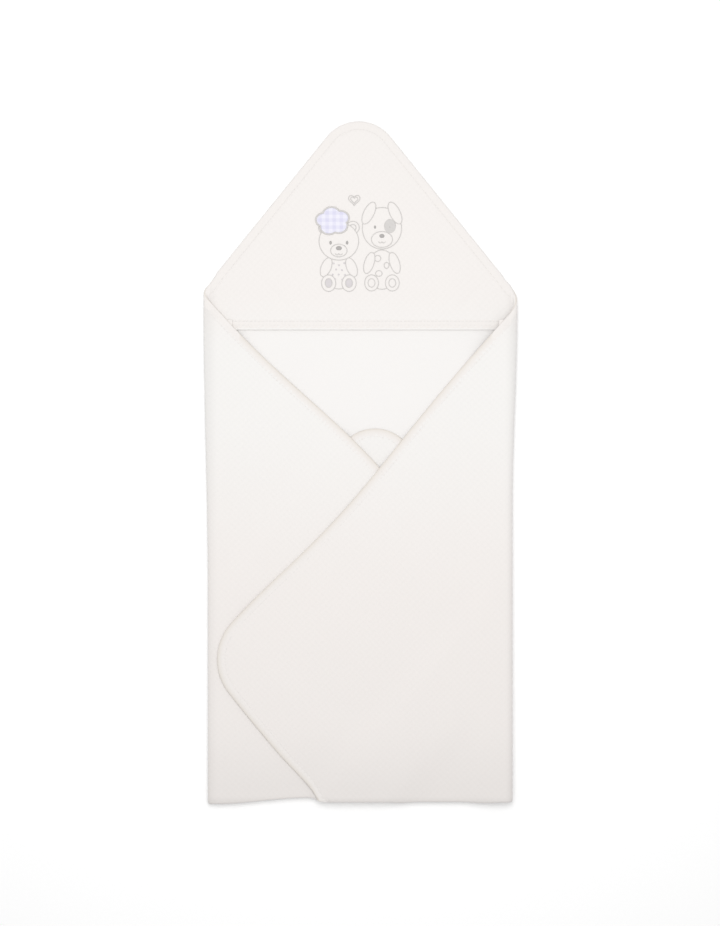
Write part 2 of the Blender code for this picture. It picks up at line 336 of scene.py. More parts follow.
def sleeve(name: str, rings: Array, lengthwise: Array) -> bpy.types.Object:
    """Make a closed solid from rings of points along a path.

    Args:
        name: the piece's name.
        rings: stations by points round each ring.
        lengthwise: each station's distance along, for the pattern.

    Returns:
        The solid.
    """
    stations, around = rings.shape[:2]
    index = np.arange(stations * around).reshape(stations, around)
    faces = [*ring_faces(index[:-1], index[1:]), index[0][::-1], index[-1]]
    steps = np.linalg.norm(rings - np.roll(rings, 1, axis=1), axis=2)
    across = np.cumsum(steps, axis=1) - steps
    flat = np.stack([np.repeat(lengthwise[:, None], around, axis=1), across], axis=2)
    return new_object(name, rings.reshape(-1, 3), faces, flat.reshape(-1, 2), sharp=70.0)


def joined(name: str, parts: list[tuple[Array, list]]) -> bpy.types.Object:
    """Make one object from several small closed solids.

    Args:
        name: the piece's name.
        parts: the points and the faces of each solid.

    Returns:
        The object.
    """
    verts, faces, start = [], [], 0
    for points, polygons in parts:
        verts.append(points)
        faces += [tuple(i + start for i in polygon) for polygon in polygons]
        start += len(points)
    return new_object(name, np.concatenate(verts), faces, sharp=80.0)


# ------------------------------------------------------------------ the folded cloth's plan

@dataclass
class Fold:
    """A side fold: the line where the cloth turns over, and its half-round crease."""

    side: Side
    flap_level: int
    tuck_level: int
    outermost: float = 0.0
    lower_inset: float = 0.0015     # the folds draw in below the hood
    upper_flare: float = 0.0052
    flare_from: float = -0.04       # where it starts, going up the towel
    flare_to: float = 0.16
    clear_of_hinge: float = 0.0005  # the wandering cloth never comes nearer its hinge

    def __post_init__(self) -> None:
        """Read how far out the CAD crease reaches."""
        low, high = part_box(f"{self.side.word}_side_crease")
        self.outermost = high[0] if self.side is Side.RIGHT else -low[0]

    @property
    def radius(self) -> float:
        """Return the radius of the flap's crease, at the middle of the cloth."""
        return self.flap_level * PITCH / 2

    @property
    def inner_radius(self) -> float:
        """Return the radius of the crease one layer further in."""
        return (self.tuck_level - 1) * PITCH / 2

    @property
    def height(self) -> float:
        """Return the height of the crease's axis."""
        return CLOTH / 2 + self.radius

    def reach(self, y: Array) -> Array:
        """Return how far out the fold lies at each place along the towel."""
        ramp = (np.asarray(y, float) - self.flare_from) / (self.flare_to - self.flare_from)
        return self.outermost - self.lower_inset + (
            self.upper_flare + self.lower_inset) * smooth(ramp)

    @property
    def nominal(self) -> float:
        """Return how far out the flat cloth ends, where the fold doesn't wander."""
        return self.outermost - CLOTH / 2 - self.radius

    def shift(self, y: Array) -> Array:
        """Return how far the flat cloth's end wanders out, always short of the hinge."""
        most = self.radius - self.clear_of_hinge
        return most * np.tanh((self.reach(y) - self.outermost) / most)

    def crease_x(self, y: Array) -> Array:
        """Return where the flat cloth ends and the crease starts."""
        return self.side.sign * (self.nominal + self.shift(y))

    def bulge(self, y: Array) -> Array:
        """Return how much further out than a half circle the crease reaches."""
        return self.reach(y) - self.outermost - self.shift(y)


@dataclass(frozen=True)
class FlapShape:
    """A flap's cut edge, from its fold round its tip to the bottom fold."""

    root: float                     # where it leaves its fold, along the towel
    tip: tuple[float, float]        # its corner, before rounding
    foot: float                     # where it meets the bottom fold, across
    bow: float                      # how far its upper edge bows out
    peak: float                     # where along that edge it bows most


FLAP_SHAPES = {Side.LEFT: FlapShape(0.1680, (0.1640, -0.1860), 0.0300, 0.0150, 0.56),
               Side.RIGHT: FlapShape(0.1573, (-0.1665, -0.2007), -0.0455, 0.0085, 0.62)}


@dataclass
class Plan:
    """Outlines of the layers, seen from above, worked out from the CAD nodes."""

    hood_skew: float = -0.0025       # the hood's corner leans a little to the left
    corner_radius: float = 0.042
    tip_radius: float = 0.056
    turned_tip_shift: float = 0.0146  # the folded-up corner lies off the middle
    slope: float = 0.8085            # half width gained for each metre below a corner
    hem_rise: float = 0.0046         # the bottom fold draws up beside the right flap's foot
    hem_lift: float = 0.0028         # and all of it lies a little higher than the crease is cut
    hem_tilt: float = 0.0021         # more so to the right
    left_shoulder: float = 0.1892    # where the hood's edge meets the left fold
    right_shoulder: float = 0.1832   # the first guess of where it meets the right one
    shoulder_bends: tuple[float, float] = (0.010, 0.012)
    shoulder_bow: float = 0.06       # share of a bend by which it bows
    edge_spacing: float = 0.002
    folds: dict = field(default_factory=dict)

    def __post_init__(self) -> None:
        """Work out the folds, the corners and the cut edges."""
        self.folds = {Side.LEFT: Fold(Side.LEFT, 3, 2, lower_inset=-0.0018,
                                      upper_flare=0.0062, flare_from=-0.13),
                      Side.RIGHT: Fold(Side.RIGHT, 5, 4, lower_inset=-0.0002)}
        self.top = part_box("hood_seam_binding")[1][1]
        self.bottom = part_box("bottom_crease")[0][1]
        self.crease_y = self.bottom + CLOTH / 2 + PITCH / 2
        self.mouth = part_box("hood_mouth_band")[0][1]
        setback = self.corner_radius * (math.sqrt(1 + self.slope**2) / self.slope - 1)
        self.apex = np.array([self.hood_skew, self.top + setback])
        turned_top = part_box("bottom_flap_binding")[1][1] - 0.0090
        self.turned = np.array([self.turned_tip_shift, turned_top + setback])
        self.hood_edge = self.make_hood_edge()
        self.flap_edge = {side: self.make_flap_edge(side) for side in Side}
        self.turned_edge = self.make_turned_edge()
        self.tuck_edge = {side: self.make_tuck_edge(side) for side in Side}

    def hem(self, x: Array, y: Array) -> Array:
        """Return places along the towel again, with its lower end's slight waviness."""
        rise = self.hem_rise * smooth((x + 0.150) / 0.095) * (1 - smooth((x + 0.053) / 0.013))
        lift = self.hem_lift + self.hem_tilt * smooth((x + 0.150) / 0.095)
        return (y + rise * (1 - smooth((y - self.crease_y) / 0.06))
                + lift * (1 - smooth((y - self.crease_y) / 0.12)))

    def on_crease(self, side: Side, y: float) -> Array:
        """Return the point of a side crease at one place along the towel."""
        return np.array([float(self.folds[side].crease_x(y)), y])

    def crease_line(self, side: Side, low: float, high: float) -> Array:
        """Return points up a side crease."""
        return np.array([self.on_crease(side, y) for y in np.linspace(low, high, 40)])

    def slant(self, corner: Array, side: Side, y: float) -> Array:
        """Return the point of an edge that slants down from a corner of the cloth."""
        return np.array([corner[0] + side.sign * self.slope * (corner[1] - y), y])

    def make_hood_edge(self) -> Array:
        """Return the cut edge from the left crease over the hood's corner to the right one."""
        met = self.right_shoulder
        for _ in range(6):
            out = float(self.folds[Side.RIGHT].crease_x(met)) - self.apex[0]
            met = self.apex[1] - out / self.slope
        runs = []
        for side, y, bend in zip(Side, (self.left_shoulder, met), self.shoulder_bends):
            end = self.on_crease(side, y)
            start = self.slant(self.apex, side, y + bend)
            runs.append(bowed(end, start, side.sign * self.shoulder_bow * bend)[:-1])
        left, right = runs
        arc = rounded(left[-1], self.apex, right[-1], self.corner_radius)
        return resampled(np.concatenate([left, arc, right[::-1]]), self.edge_spacing)

    def make_flap_edge(self, side: Side) -> Array:
        """Return a flap's cut edge, from its crease round its tip to the bottom fold."""
        shape = FLAP_SHAPES[side]
        root, foot = self.on_crease(side, shape.root), np.array([shape.foot, self.crease_y])
        arc = rounded(root, np.array(shape.tip), foot, self.tip_radius)
        upper = bowed(root, arc[0], shape.bow, shape.peak)
        lower = bowed(arc[-1], foot, 0.0, 0.5, 12)
        return resampled(np.concatenate([upper[:-1], arc, lower[1:]]), self.edge_spacing)

    def make_turned_edge(self) -> Array:
        """Return the cut edge of the folded-up bottom corner, from crease to crease."""
        ends = []
        for side in (Side.LEFT, Side.RIGHT):
            y = self.turned[1] - (0.150 - side.sign * self.turned[0]) / self.slope
            for _ in range(4):
                x = float(self.folds[side].crease_x(y))
                y = self.turned[1] - abs(x - self.turned[0]) / self.slope
            ends.append(self.on_crease(side, y))
        arc = rounded(ends[0], self.turned, ends[1], self.corner_radius)
        return resampled(np.concatenate([ends[:1], arc, ends[1:]]), self.edge_spacing)

    def make_tuck_edge(self, side: Side) -> Array:
        """Return the cut edge of the bottom corner's part that is folded in with a flap."""
        end = self.turned_edge[0] if side is Side.LEFT else self.turned_edge[-1]
        root = self.on_crease(side, end[1] - 0.010)
        foot = self.flap_edge[side][-1]
        return resampled(np.stack([root, foot]), self.edge_spacing)

    @property
    def hem_row(self) -> float:
        """Return the line just above the bottom fold where the layers' heights are read."""
        return self.crease_y + 0.0005

    def beside_fold(self, edge: Array, side: Side) -> Array:
        """Return the closed outline between a cut edge and the side fold it starts from."""
        return np.concatenate([edge, self.crease_line(side, self.crease_y, edge[0][1])])

    def between_folds(self, edge: Array, low: float) -> Array:
        """Close the outline below a cut edge that runs from fold to fold.

        Args:
            edge: the cut edge, from the left fold to the right one.
            low: where the outline ends, along the towel.

        Returns:
            The closed outline.
        """
        right = self.crease_line(Side.RIGHT, low, edge[-1][1])[::-1]
        left = self.crease_line(Side.LEFT, low, edge[0][1])
        return np.concatenate([edge, right, left])

    def flap_outline(self, side: Side) -> Array:
        """Return the closed outline of a flap."""
        return self.beside_fold(self.flap_edge[side], side)

    def tuck_outline(self, side: Side) -> Array:
        """Return the closed outline of a flap's tucked-in part."""
        return self.beside_fold(self.tuck_edge[side], side)

    def band_end(self, side: Side) -> float:
        """Return how far a flap reaches along the line of the hood's mouth."""
        edge = self.flap_edge[side]
        rows = edge[: int(len(edge) * 0.4)]
        return float(np.interp(-self.mouth, -rows[:, 1], rows[:, 0]))

    def corner_outline(self, side: Side) -> Array:
        """Return the closed outline of the hood's corner that is folded in under a flap."""
        edge = self.flap_edge[side]
        upper = edge[edge[:, 1] > self.mouth]
        upper = upper[: np.argmax(np.diff(upper[:, 1], append=-1) > 0) or len(upper)]
        low = np.array([[self.band_end(side), self.mouth]])
        line = self.crease_line(side, self.mouth, edge[0][1])
        return np.concatenate([upper, low, line])

    def turned_outline(self) -> Array:
        """Return the closed outline of the folded-up bottom corner."""
        return self.between_folds(self.turned_edge, self.crease_y)

    def back_outline(self) -> Array:
        """Return the closed outline of the panel that lies on the table."""
        return self.between_folds(self.hood_edge, self.crease_y)

    def hood_outline(self) -> Array:
        """Return the closed outline of the hood between the side creases."""
        return self.between_folds(self.hood_edge, self.mouth)


# ------------------------------------------------------------------ draping

@dataclass
class Drape:
    """Heights of the layers, found by laying each one over those below it."""

    plan: Plan
    step: float = 0.002
    bridge: int = 2                 # cells that a layer spans beside a step below it
    softness: float = 1.6           # blur of that span, in cells
    heights: dict = field(default_factory=dict)

    def __post_init__(self) -> None:
        """Lay out the grid that heights are found on."""
        self.xs = np.arange(-0.186, 0.186 + self.step / 2, self.step)
        self.ys = np.arange(-0.376, 0.376 + self.step / 2, self.step)
        self.x, self.y = np.meshgrid(self.xs, self.ys)
        self.pile = np.zeros(self.x.shape)

    def envelope(self, stiffness: float = 1.0) -> Array:
        """Find the smooth surface that lies on top of the pile.

        Args:
            stiffness: how far it bridges steps, against a single soft layer.

        Returns:
            Its height at every point of the grid.
        """
        top = self.pile.copy()
        for _ in range(int(self.bridge * stiffness)):
            wide = np.pad(top, 1, mode="edge")
            top = np.maximum.reduce([wide[1:-1, 1:-1], wide[:-2, 1:-1], wide[2:, 1:-1],
                                     wide[1:-1, :-2], wide[1:-1, 2:]])
        blur = self.softness * stiffness
        reach = int(3 * blur) + 1
        kernel = np.exp(-0.5 * (np.arange(-reach, reach + 1) / blur) ** 2)
        kernel /= kernel.sum()
        for axis in (0, 1):
            wide = np.pad(top, [(reach, reach) if i == axis else (0, 0) for i in (0, 1)], "edge")
            top = sum(k * np.take(wide, np.arange(i, i + top.shape[axis]), axis=axis)
                      for i, k in enumerate(kernel))
        return np.maximum(top, self.pile)

    def lay(self, name: str, outline: Array, side: Side | None = None,
            level: int = 0, ease: float = 0.05, lift: Array | float = 0.0,
            stiffness: float = 1.0) -> None:
        """Lay one sheet on the pile.

        Args:
            name: the sheet's name, for its heights.
            outline: its closed outline.
            side: the fold that it comes from, if it comes from one.
            level: the level at which it leaves that fold's crease.
            ease: how far from the crease it comes down to the pile.
            lift: how far it stands off the pile.
            stiffness: how far it bridges steps in the pile, against a single soft layer.
        """
        gap = PITCH - CLOTH
        base = self.envelope(stiffness) + (gap if self.pile.max() > 0 else 0.0) + lift
        if side is not None:
            away = side.sign * (self.plan.folds[side].crease_x(self.y) - self.x)
            held = 1.0 - smooth(away / ease)
            base = base + (level * PITCH - base) * held
        self.heights[name] = base
        cloth = inside(outline, self.x, self.y)
        self.pile = np.where(cloth, np.maximum(self.pile, base + CLOTH), self.pile)

    def at(self, name: str, x: Array, y: Array) -> Array:
        """Read the height of a sheet's lower face.

        Args:
            name: the sheet's name.
            x: places across.
            y: places along.

        Returns:
            The height at each place.
        """
        grid = self.heights[name]
        fx = np.clip((x - self.xs[0]) / self.step, 0, len(self.xs) - 1.001)
        fy = np.clip((y - self.ys[0]) / self.step, 0, len(self.ys) - 1.001)
        i, j = fx.astype(int), fy.astype(int)
        u, v = fx - i, fy - j
        return ((grid[j, i] * (1 - u) + grid[j, i + 1] * u) * (1 - v)
                + (grid[j + 1, i] * (1 - u) + grid[j + 1, i + 1] * u) * v)


def emboss(across: Array, along: Array) -> Array:
    """Return the depth of the diamond dimples, from 0 on the ridges to the full depth."""
    wave = (np.sin(2 * math.pi * across / EMBOSS_PERIOD)
            * np.cos(2 * math.pi * along / EMBOSS_PERIOD))
    return EMBOSS_DEPTH * (0.5 - 0.5 * wave)


@dataclass
class Weave:
    """The cloth's grid of points, shared by all its panels, so that the pattern runs on."""

    plan: Plan
    drape: Drape
    fade: float = 0.06              # how far in from a fold its wandering is felt
    terry_depth: float = 0.00007

    def __post_init__(self) -> None:
        """Work out the rows and columns of the cloth."""
        folds, spacing = self.plan.folds, EMBOSS_PERIOD / 4
        self.nominal = {side: fold.nominal for side, fold in folds.items()}
        halves = {side: np.linspace(0, side.sign * width, int(round(width / spacing)) + 1)
                  for side, width in self.nominal.items()}
        self.across = np.concatenate([halves[Side.LEFT][:0:-1], halves[Side.RIGHT]])
        self.middle = len(halves[Side.LEFT]) - 1
        self.half = {Side.LEFT: slice(None, self.middle + 1),
                     Side.RIGHT: slice(self.middle, None)}
        drop = self.plan.mouth - self.plan.crease_y
        step = drop / round(drop / spacing)
        count = int((self.plan.top - self.plan.crease_y) / step) + 2
        self.along = self.plan.crease_y + step * np.arange(count)
        self.mouth_row = int(round(drop / step))
        self.u, self.v = np.meshgrid(self.across, self.along)
        self.x = self.warped(self.u, self.v)
        random = np.random.default_rng(5)
        self.terry = random.normal(0.0, self.terry_depth, self.u.shape)

    def warped(self, u: Array, v: Array) -> Array:
        """Return where the cloth's columns lie, following the folds beside them."""
        x = np.array(u, float)
        for side, fold in self.plan.folds.items():
            near = 1.0 - smooth((self.nominal[side] - side.sign * u) / self.fade)
            x = x + side.sign * fold.shift(v) * near
        return x

    def folded_over(self, u: Array, side: Side, radius: float) -> Array:
        """Return the flat cloth's place across, for cloth turned over at a fold."""
        edge = side.sign * self.nominal[side]
        return edge + side.sign * math.pi * radius + (edge - u)

    def turned_up(self, v: Array) -> Array:
        """Return the flat cloth's place along, for cloth turned up at the bottom fold."""
        return 2 * self.plan.crease_y - math.pi * PITCH / 2 - v

    def panel(self, name: str, sheet: str, outline: Array, edge: Array | None,
              outer_up: bool, flat: tuple[Array, Array] | None = None,
              columns: slice = slice(None), first_row: int = 0) -> bpy.types.Object:
        """Make one flat panel of cloth.

        Args:
            name: the piece's name.
            sheet: the draped sheet that it follows.
            outline: its closed outline.
            edge: its cut edge, which the binding covers.
            outer_up: whether the quilted face is the upper one.
            flat: the cloth's flat places, where they differ from the plan's.
            columns: which columns it takes in.
            first_row: the row that it starts from.

        Returns:
            The panel.
        """
        part = (slice(first_row, None), columns)
        x, y = self.x[part], self.v[part]
        flat_u, flat_v = (self.u, self.v) if flat is None else flat
        across, along = flat_u[part], flat_v[part]
        centre_x = (x[:-1, :-1] + x[1:, 1:]) / 2
        centre_y = (y[:-1, :-1] + y[1:, 1:]) / 2
        keep = inside(outline, centre_x, centre_y)
        if edge is not None:
            keep &= distance_to(edge[::3], centre_x, centre_y) > (
                BINDING_WIDTH - TUCKED_UNDER_BINDING)
        middle = self.drape.at(sheet, x, y) + CLOTH / 2
        y = self.plan.hem(x, y)
        up = 1.0 if outer_up else -1.0
        outer = np.stack([x, y, middle + up * (CLOTH / 2 - emboss(across, along))], axis=2)
        inner = np.stack([x, y, middle - up * (CLOTH / 2 - np.abs(self.terry[part]))], axis=2)
        return shell(name, outer, inner, keep, np.stack([across, along], axis=2))

    def roll(self, name: str, side: Side, inner_roll: bool, low: tuple[float, float],
             high: tuple[float, float], capped: bool = False,
             turned_up: bool = False) -> bpy.types.Object:
        """Make the half-round crease of a side fold.

        Args:
            name: the piece's name.
            side: which fold.
            inner_roll: whether it is the layer inside, with its quilted face inwards.
            low: where it starts along the towel, below and above.
            high: where it ends, below and above.
            capped: whether its lower end turns over the bottom fold.
            turned_up: whether it is the folded-up corner's cloth.

        Returns:
            The crease.
        """
        fold = self.plan.folds[side]
        radius = fold.inner_radius if inner_roll else fold.radius
        rows = np.arange(low[0], max(high), EMBOSS_PERIOD / 4)
        rows[-1] = max(high)
        a = np.linspace(0.0, math.pi, CREASE_STEPS + 1)
        v, a = np.meshgrid(rows, a, indexing="ij")
        fade = min(0.06, max(high) - low[0])
        top = high[0] + (high[1] - high[0]) * a / math.pi
        y = v - (max(high) - top) * smooth((v - (max(high) - fade)) / fade)
        across = side.sign * (self.nominal[side] + radius * a)
        along = self.turned_up(y) if turned_up else y
        face = -1.0 if inner_roll else 1.0
        depth = CLOTH / 2 - emboss(across, along)
        outer_r, inner_r = radius + face * depth, radius - face * CLOTH / 2 * np.ones(v.shape)
        outer_y = inner_y = y
        if capped:
            turn = np.linspace(math.pi, 0.0, CAP_STEPS + 1)[:-1, None] * np.ones((1, a.shape[1]))
            small, middle = PITCH / 2, radius - PITCH / 2
            cap = [(middle + (small + reach) * np.cos(turn),
                    self.plan.crease_y - (small + reach) * np.sin(turn))
                   for reach in (depth[:1], -CLOTH / 2)]
            outer_r, inner_r = (np.concatenate([cap[i][0], r])
                                for i, r in enumerate((outer_r, inner_r)))
            outer_y, inner_y = (np.concatenate([cap[i][1], y]) for i in (0, 1))
            a = np.concatenate([np.repeat(a[:1], CAP_STEPS, axis=0), a])
            across = np.concatenate([np.repeat(across[:1], CAP_STEPS, axis=0), across])
            along = np.concatenate([along[:1] - turn * small, along])

        def curled(reach: Array, at: Array) -> Array:
            """Return the points of one face of the crease."""
            line = fold.crease_x(at)
            return np.stack([line + side.sign * (reach + fold.bulge(at)) * np.sin(a),
                             self.plan.hem(line, at), fold.height - reach * np.cos(a)], axis=2)

        keep = np.ones((a.shape[0] - 1, a.shape[1] - 1), bool)
        return shell(name, curled(outer_r, outer_y), curled(inner_r, inner_y), keep,
                     np.stack([across, along], axis=2))

    def hem_roll(self, name: str, lower: str, upper: str, span: tuple[float, float],
                 side: Side | None = None) -> bpy.types.Object:
        """Make the half-round crease at the bottom fold, between two draped sheets.

        Args:
            name: the piece's name.
            lower: the sheet below.
            upper: the sheet above.
            span: how far it reaches across, from and to.
            side: the flap that it belongs to, if any.

        Returns:
            The crease, with its quilted face outwards.
        """
        columns = self.across[(self.across > span[0]) & (self.across < span[1])]
        columns = np.concatenate([[span[0]], columns, [span[1]]])
        crease = self.plan.crease_y
        x = self.warped(columns, np.full(columns.shape, crease))
        row = np.full(x.shape, self.plan.hem_row)
        low, high = (self.drape.at(sheet, x, row) + CLOTH / 2 for sheet in (lower, upper))
        b = np.linspace(0.0, math.pi, HEM_STEPS + 1)[:, None]
        across = columns if side is None else self.folded_over(
            columns, side, self.plan.folds[side].radius)
        across = across * np.ones(b.shape)
        along = crease - b * PITCH / 2 * np.ones(across.shape)
        radius, centre = (high - low) / 2, (high + low) / 2

        def curled(reach: Array) -> Array:
            """Return the points of one face of the crease."""
            return np.stack([x * np.ones(b.shape), self.plan.hem(x, crease) - reach * np.sin(b),
                             centre - reach * np.cos(b)], axis=2)

        keep = np.ones((len(b) - 1, len(x) - 1), bool)
        return shell(name, curled(radius + CLOTH / 2 - emboss(across, along)),
                     curled(np.maximum(radius - CLOTH / 2, 0.0001) * np.ones(b.shape)), keep,
                     np.stack([across, along], axis=2))


# ------------------------------------------------------------------ bindings and stitches

@dataclass
class Run:
    """A stretch of a cut edge: stations along it, and the cloth's faces beside it."""

    lengths: Array
    locate: Callable[[Array, Array], Array]
    inner: Array | float = -0.00115   # the binding's inner face, from mid-cloth
    outer: float = CLOTH / 2          # its outer face
    width: float = BINDING_WIDTH
    seam: float = 0.0083              # the stitch line, from the edge
    rounding: float = 1.0             # how far in its rounded edge reaches
    pucker: float = 0.00009           # how deep the seam puckers it

    def section(self) -> tuple[Array, Array]:
        """Return the binding's outline at every station: distances in, and heights."""
        inner = np.broadcast_to(np.asarray(self.inner, float), self.lengths.shape)[:, None]
        w, s = self.width, self.seam
        r = self.rounding
        half = np.array([(0.0002 * r, 0.0006), (0.0008 * r, 0.00028), (0.0019 * r, 0.00004),
                         (s - 0.0012, 0.0), (s, 0.00022), (s + 0.0009, 0.00006),
                         (w - 0.0001, 0.00016), (w + 0.0002, 0.0006)])
        distances = np.concatenate([[0.0], half[:, 0], half[::-1, 0]])
        middle = (self.outer + inner) / 2
        heights = np.concatenate([middle, self.outer - half[:, 1] + 0 * middle,
                                  inner + half[::-1, 1]], axis=1)
        swell = self.pucker * np.sin(self.lengths * 2 * math.pi / 0.0052
                                     + 1.7 * np.sin(self.lengths * 31))[:, None]
        heights[:, 3:8] += swell - self.pucker
        heights[:, 10:15] -= swell - self.pucker
        return np.broadcast_to(distances, heights.shape), heights

    def binding(self, name: str) -> bpy.types.Object:
        """Make the binding that wraps the edge."""
        distances, heights = self.section()
        return sleeve(name, self.locate(distances, heights), self.lengths)

    def stitches(self, both_faces: bool = True, seam: float | None = None,
                 length: float = 0.0028, gap: float = 0.0012) -> list[tuple[Array, list]]:
        """Make the dashes of a stitch line.

        Args:
            both_faces: whether they show on the inner face as well.
            seam: the line's distance from the edge, where it isn't the run's own.
            length: one dash.
            gap: the space between two dashes.

        Returns:
            The points and faces of each dash, a small closed solid.
        """
        seam = self.seam if seam is None else seam
        starts = np.arange(0.0006, self.lengths[-1] - length, length + gap)
        inner = np.broadcast_to(np.asarray(self.inner, float), self.lengths.shape)
        faces = [(0, 1, 2, 3)] + [(i + j, i + 4 + j, i + 4 + (j + 1) % 4, i + (j + 1) % 4)
                                  for i in (0, 4, 8) for j in range(4)] + [(15, 14, 13, 12)]
        found = []
        for sign, level in ((1.0, np.full(inner.shape, self.outer)), (-1.0, inner)):
            if sign < 0 and not both_faces:
                continue
            rings = []
            for dw, dn in ((-STITCH_HALF_WIDTH, 0.0), (0.0, STITCH_RISE),
                           (STITCH_HALF_WIDTH, 0.0), (0.0, -STITCH_ROOT)):
                heights = (level + sign * (dn - STITCH_RISE))[:, None]
                rings.append(self.locate(np.full(heights.shape, seam + dw), heights)[:, 0])
            rail = np.stack(rings, axis=1).reshape(len(self.lengths), 12)
            for start in starts:
                at = start + length * np.array([0.0, 0.2, 0.8, 1.0])
                ring = np.stack([np.interp(at, self.lengths, rail[:, k]) for k in range(12)], 1)
                ring = ring.reshape(4, 4, 3)
                for end in (0, 3):
                    core = ring[end].mean(axis=0)
                    ring[end] = core + (ring[end] - core) * 0.45
                found.append((ring.reshape(-1, 3), faces))
        return found


@dataclass
class Edges:
    """The cut edges of the folded towel, as runs that bindings and stitches follow."""

    plan: Plan
    weave: Weave
    spacing: float = 0.0015
    easing: float = 0.022           # where an edge swings round before a crease
    crease_slant: float = 1.5       # a binding's width measured along a side crease
    hem_slant: float = 1.25         # and along the bottom crease

    @property
    def upright(self) -> tuple[float, float]:
        """Return the way into the cloth where an edge meets a side crease."""
        return 0.0, -self.crease_slant

    def flat(self, sheet: str, path: Array, turn: int, outer_up: bool,
             ends: tuple[Array | None, Array | None] = (None, None), **sizes: Any) -> Run:
        """Follow an edge that lies flat.

        Args:
            sheet: the draped sheet that it belongs to.
            path: the cut edge.
            turn: 1 where the cloth is to the left of the path, -1 to the right.
            outer_up: whether the quilted face is the upper one.
            ends: the way into the cloth at each end, where a crease starts.
            sizes: the binding's own sizes.

        Returns:
            The run.
        """
        path = resampled(path, self.spacing)
        way = unit(np.gradient(path, axis=0))
        inward = turn * np.stack([-way[:, 1], way[:, 0]], axis=1)
        lengths = np.arange(len(path)) * float(np.linalg.norm(path[1] - path[0]))
        for end, distance in zip(ends, (lengths, lengths[-1] - lengths)):
            if end is not None:
                ease = (1.0 - smooth(distance / self.easing))[:, None]
                inward = inward * (1 - ease) + np.asarray(end) * ease
        up = 1.0 if outer_up else -1.0

        def locate(w: Array, n: Array) -> Array:
            """Return points at distances in from the edge and heights over mid-cloth."""
            x = path[:, :1] + inward[:, :1] * w
            y = path[:, 1:] + inward[:, 1:] * w
            z = self.weave.drape.at(sheet, x, y) + CLOTH / 2 + up * n
            return np.stack([x, self.plan.hem(x, y), z], axis=2)

        return Run(lengths, locate, **sizes)

    def round_fold(self, side: Side, inner_roll: bool, start: float, end: float,
                   slant: float, **sizes: Any) -> Run:
        """Follow an edge round a side crease, from the layer below to the one above.

        Args:
            side: which fold.
            inner_roll: whether it is the layer inside.
            start: where it starts along the towel, in the layer below.
            end: where it ends, in the layer above.
            slant: how far along the towel each metre into the cloth leads.
            sizes: the binding's own sizes.

        Returns:
            The run.
        """
        fold = self.plan.folds[side]
        radius = fold.inner_radius if inner_roll else fold.radius
        a = np.linspace(0.0, math.pi, CREASE_STEPS + 1)[:, None]
        face = -1.0 if inner_roll else 1.0

        def locate(w: Array, n: Array) -> Array:
            """Return points at distances in from the edge and heights over mid-cloth."""
            y = start + (end - start) * a / math.pi + slant * w
            reach = np.maximum(radius + face * n, TIGHTEST)
            line = fold.crease_x(y)
            out = side.sign * (reach + fold.bulge(y)) * np.sin(a)
            return np.stack([line + out, self.plan.hem(line, y),
                             fold.height - reach * np.cos(a)], axis=2)

        return Run(a[:, 0] * radius, locate, **sizes)

    def round_hem(self, side: Side, lower: str, upper: str, x: float) -> Run:
        """Follow a flap's edge round the bottom crease, from the flap to its tuck.

        Args:
            side: which flap.
            lower: the sheet below the crease.
            upper: the sheet above it.
            x: where the edge crosses it.

        Returns:
            The run.
        """
        b = np.linspace(0.0, math.pi, HEM_STEPS + 1)[:, None]
        crease = self.plan.crease_y

        def locate(w: Array, n: Array) -> Array:
            """Return points at distances in from the edge and heights over mid-cloth."""
            at = x + side.sign * self.hem_slant * w
            row = np.full(at.shape, self.plan.hem_row)
            low, high = (self.weave.drape.at(sheet, at, row) + CLOTH / 2
                         for sheet in (lower, upper))
            reach = np.maximum((high - low) / 2 + n, TIGHTEST)
            return np.stack([at, self.plan.hem(at, crease) - reach * np.sin(b),
                             (high + low) / 2 + reach * np.cos(b)], axis=2)

        return Run(b[:, 0] * PITCH / 2, locate)


# ------------------------------------------------------------------ finishes

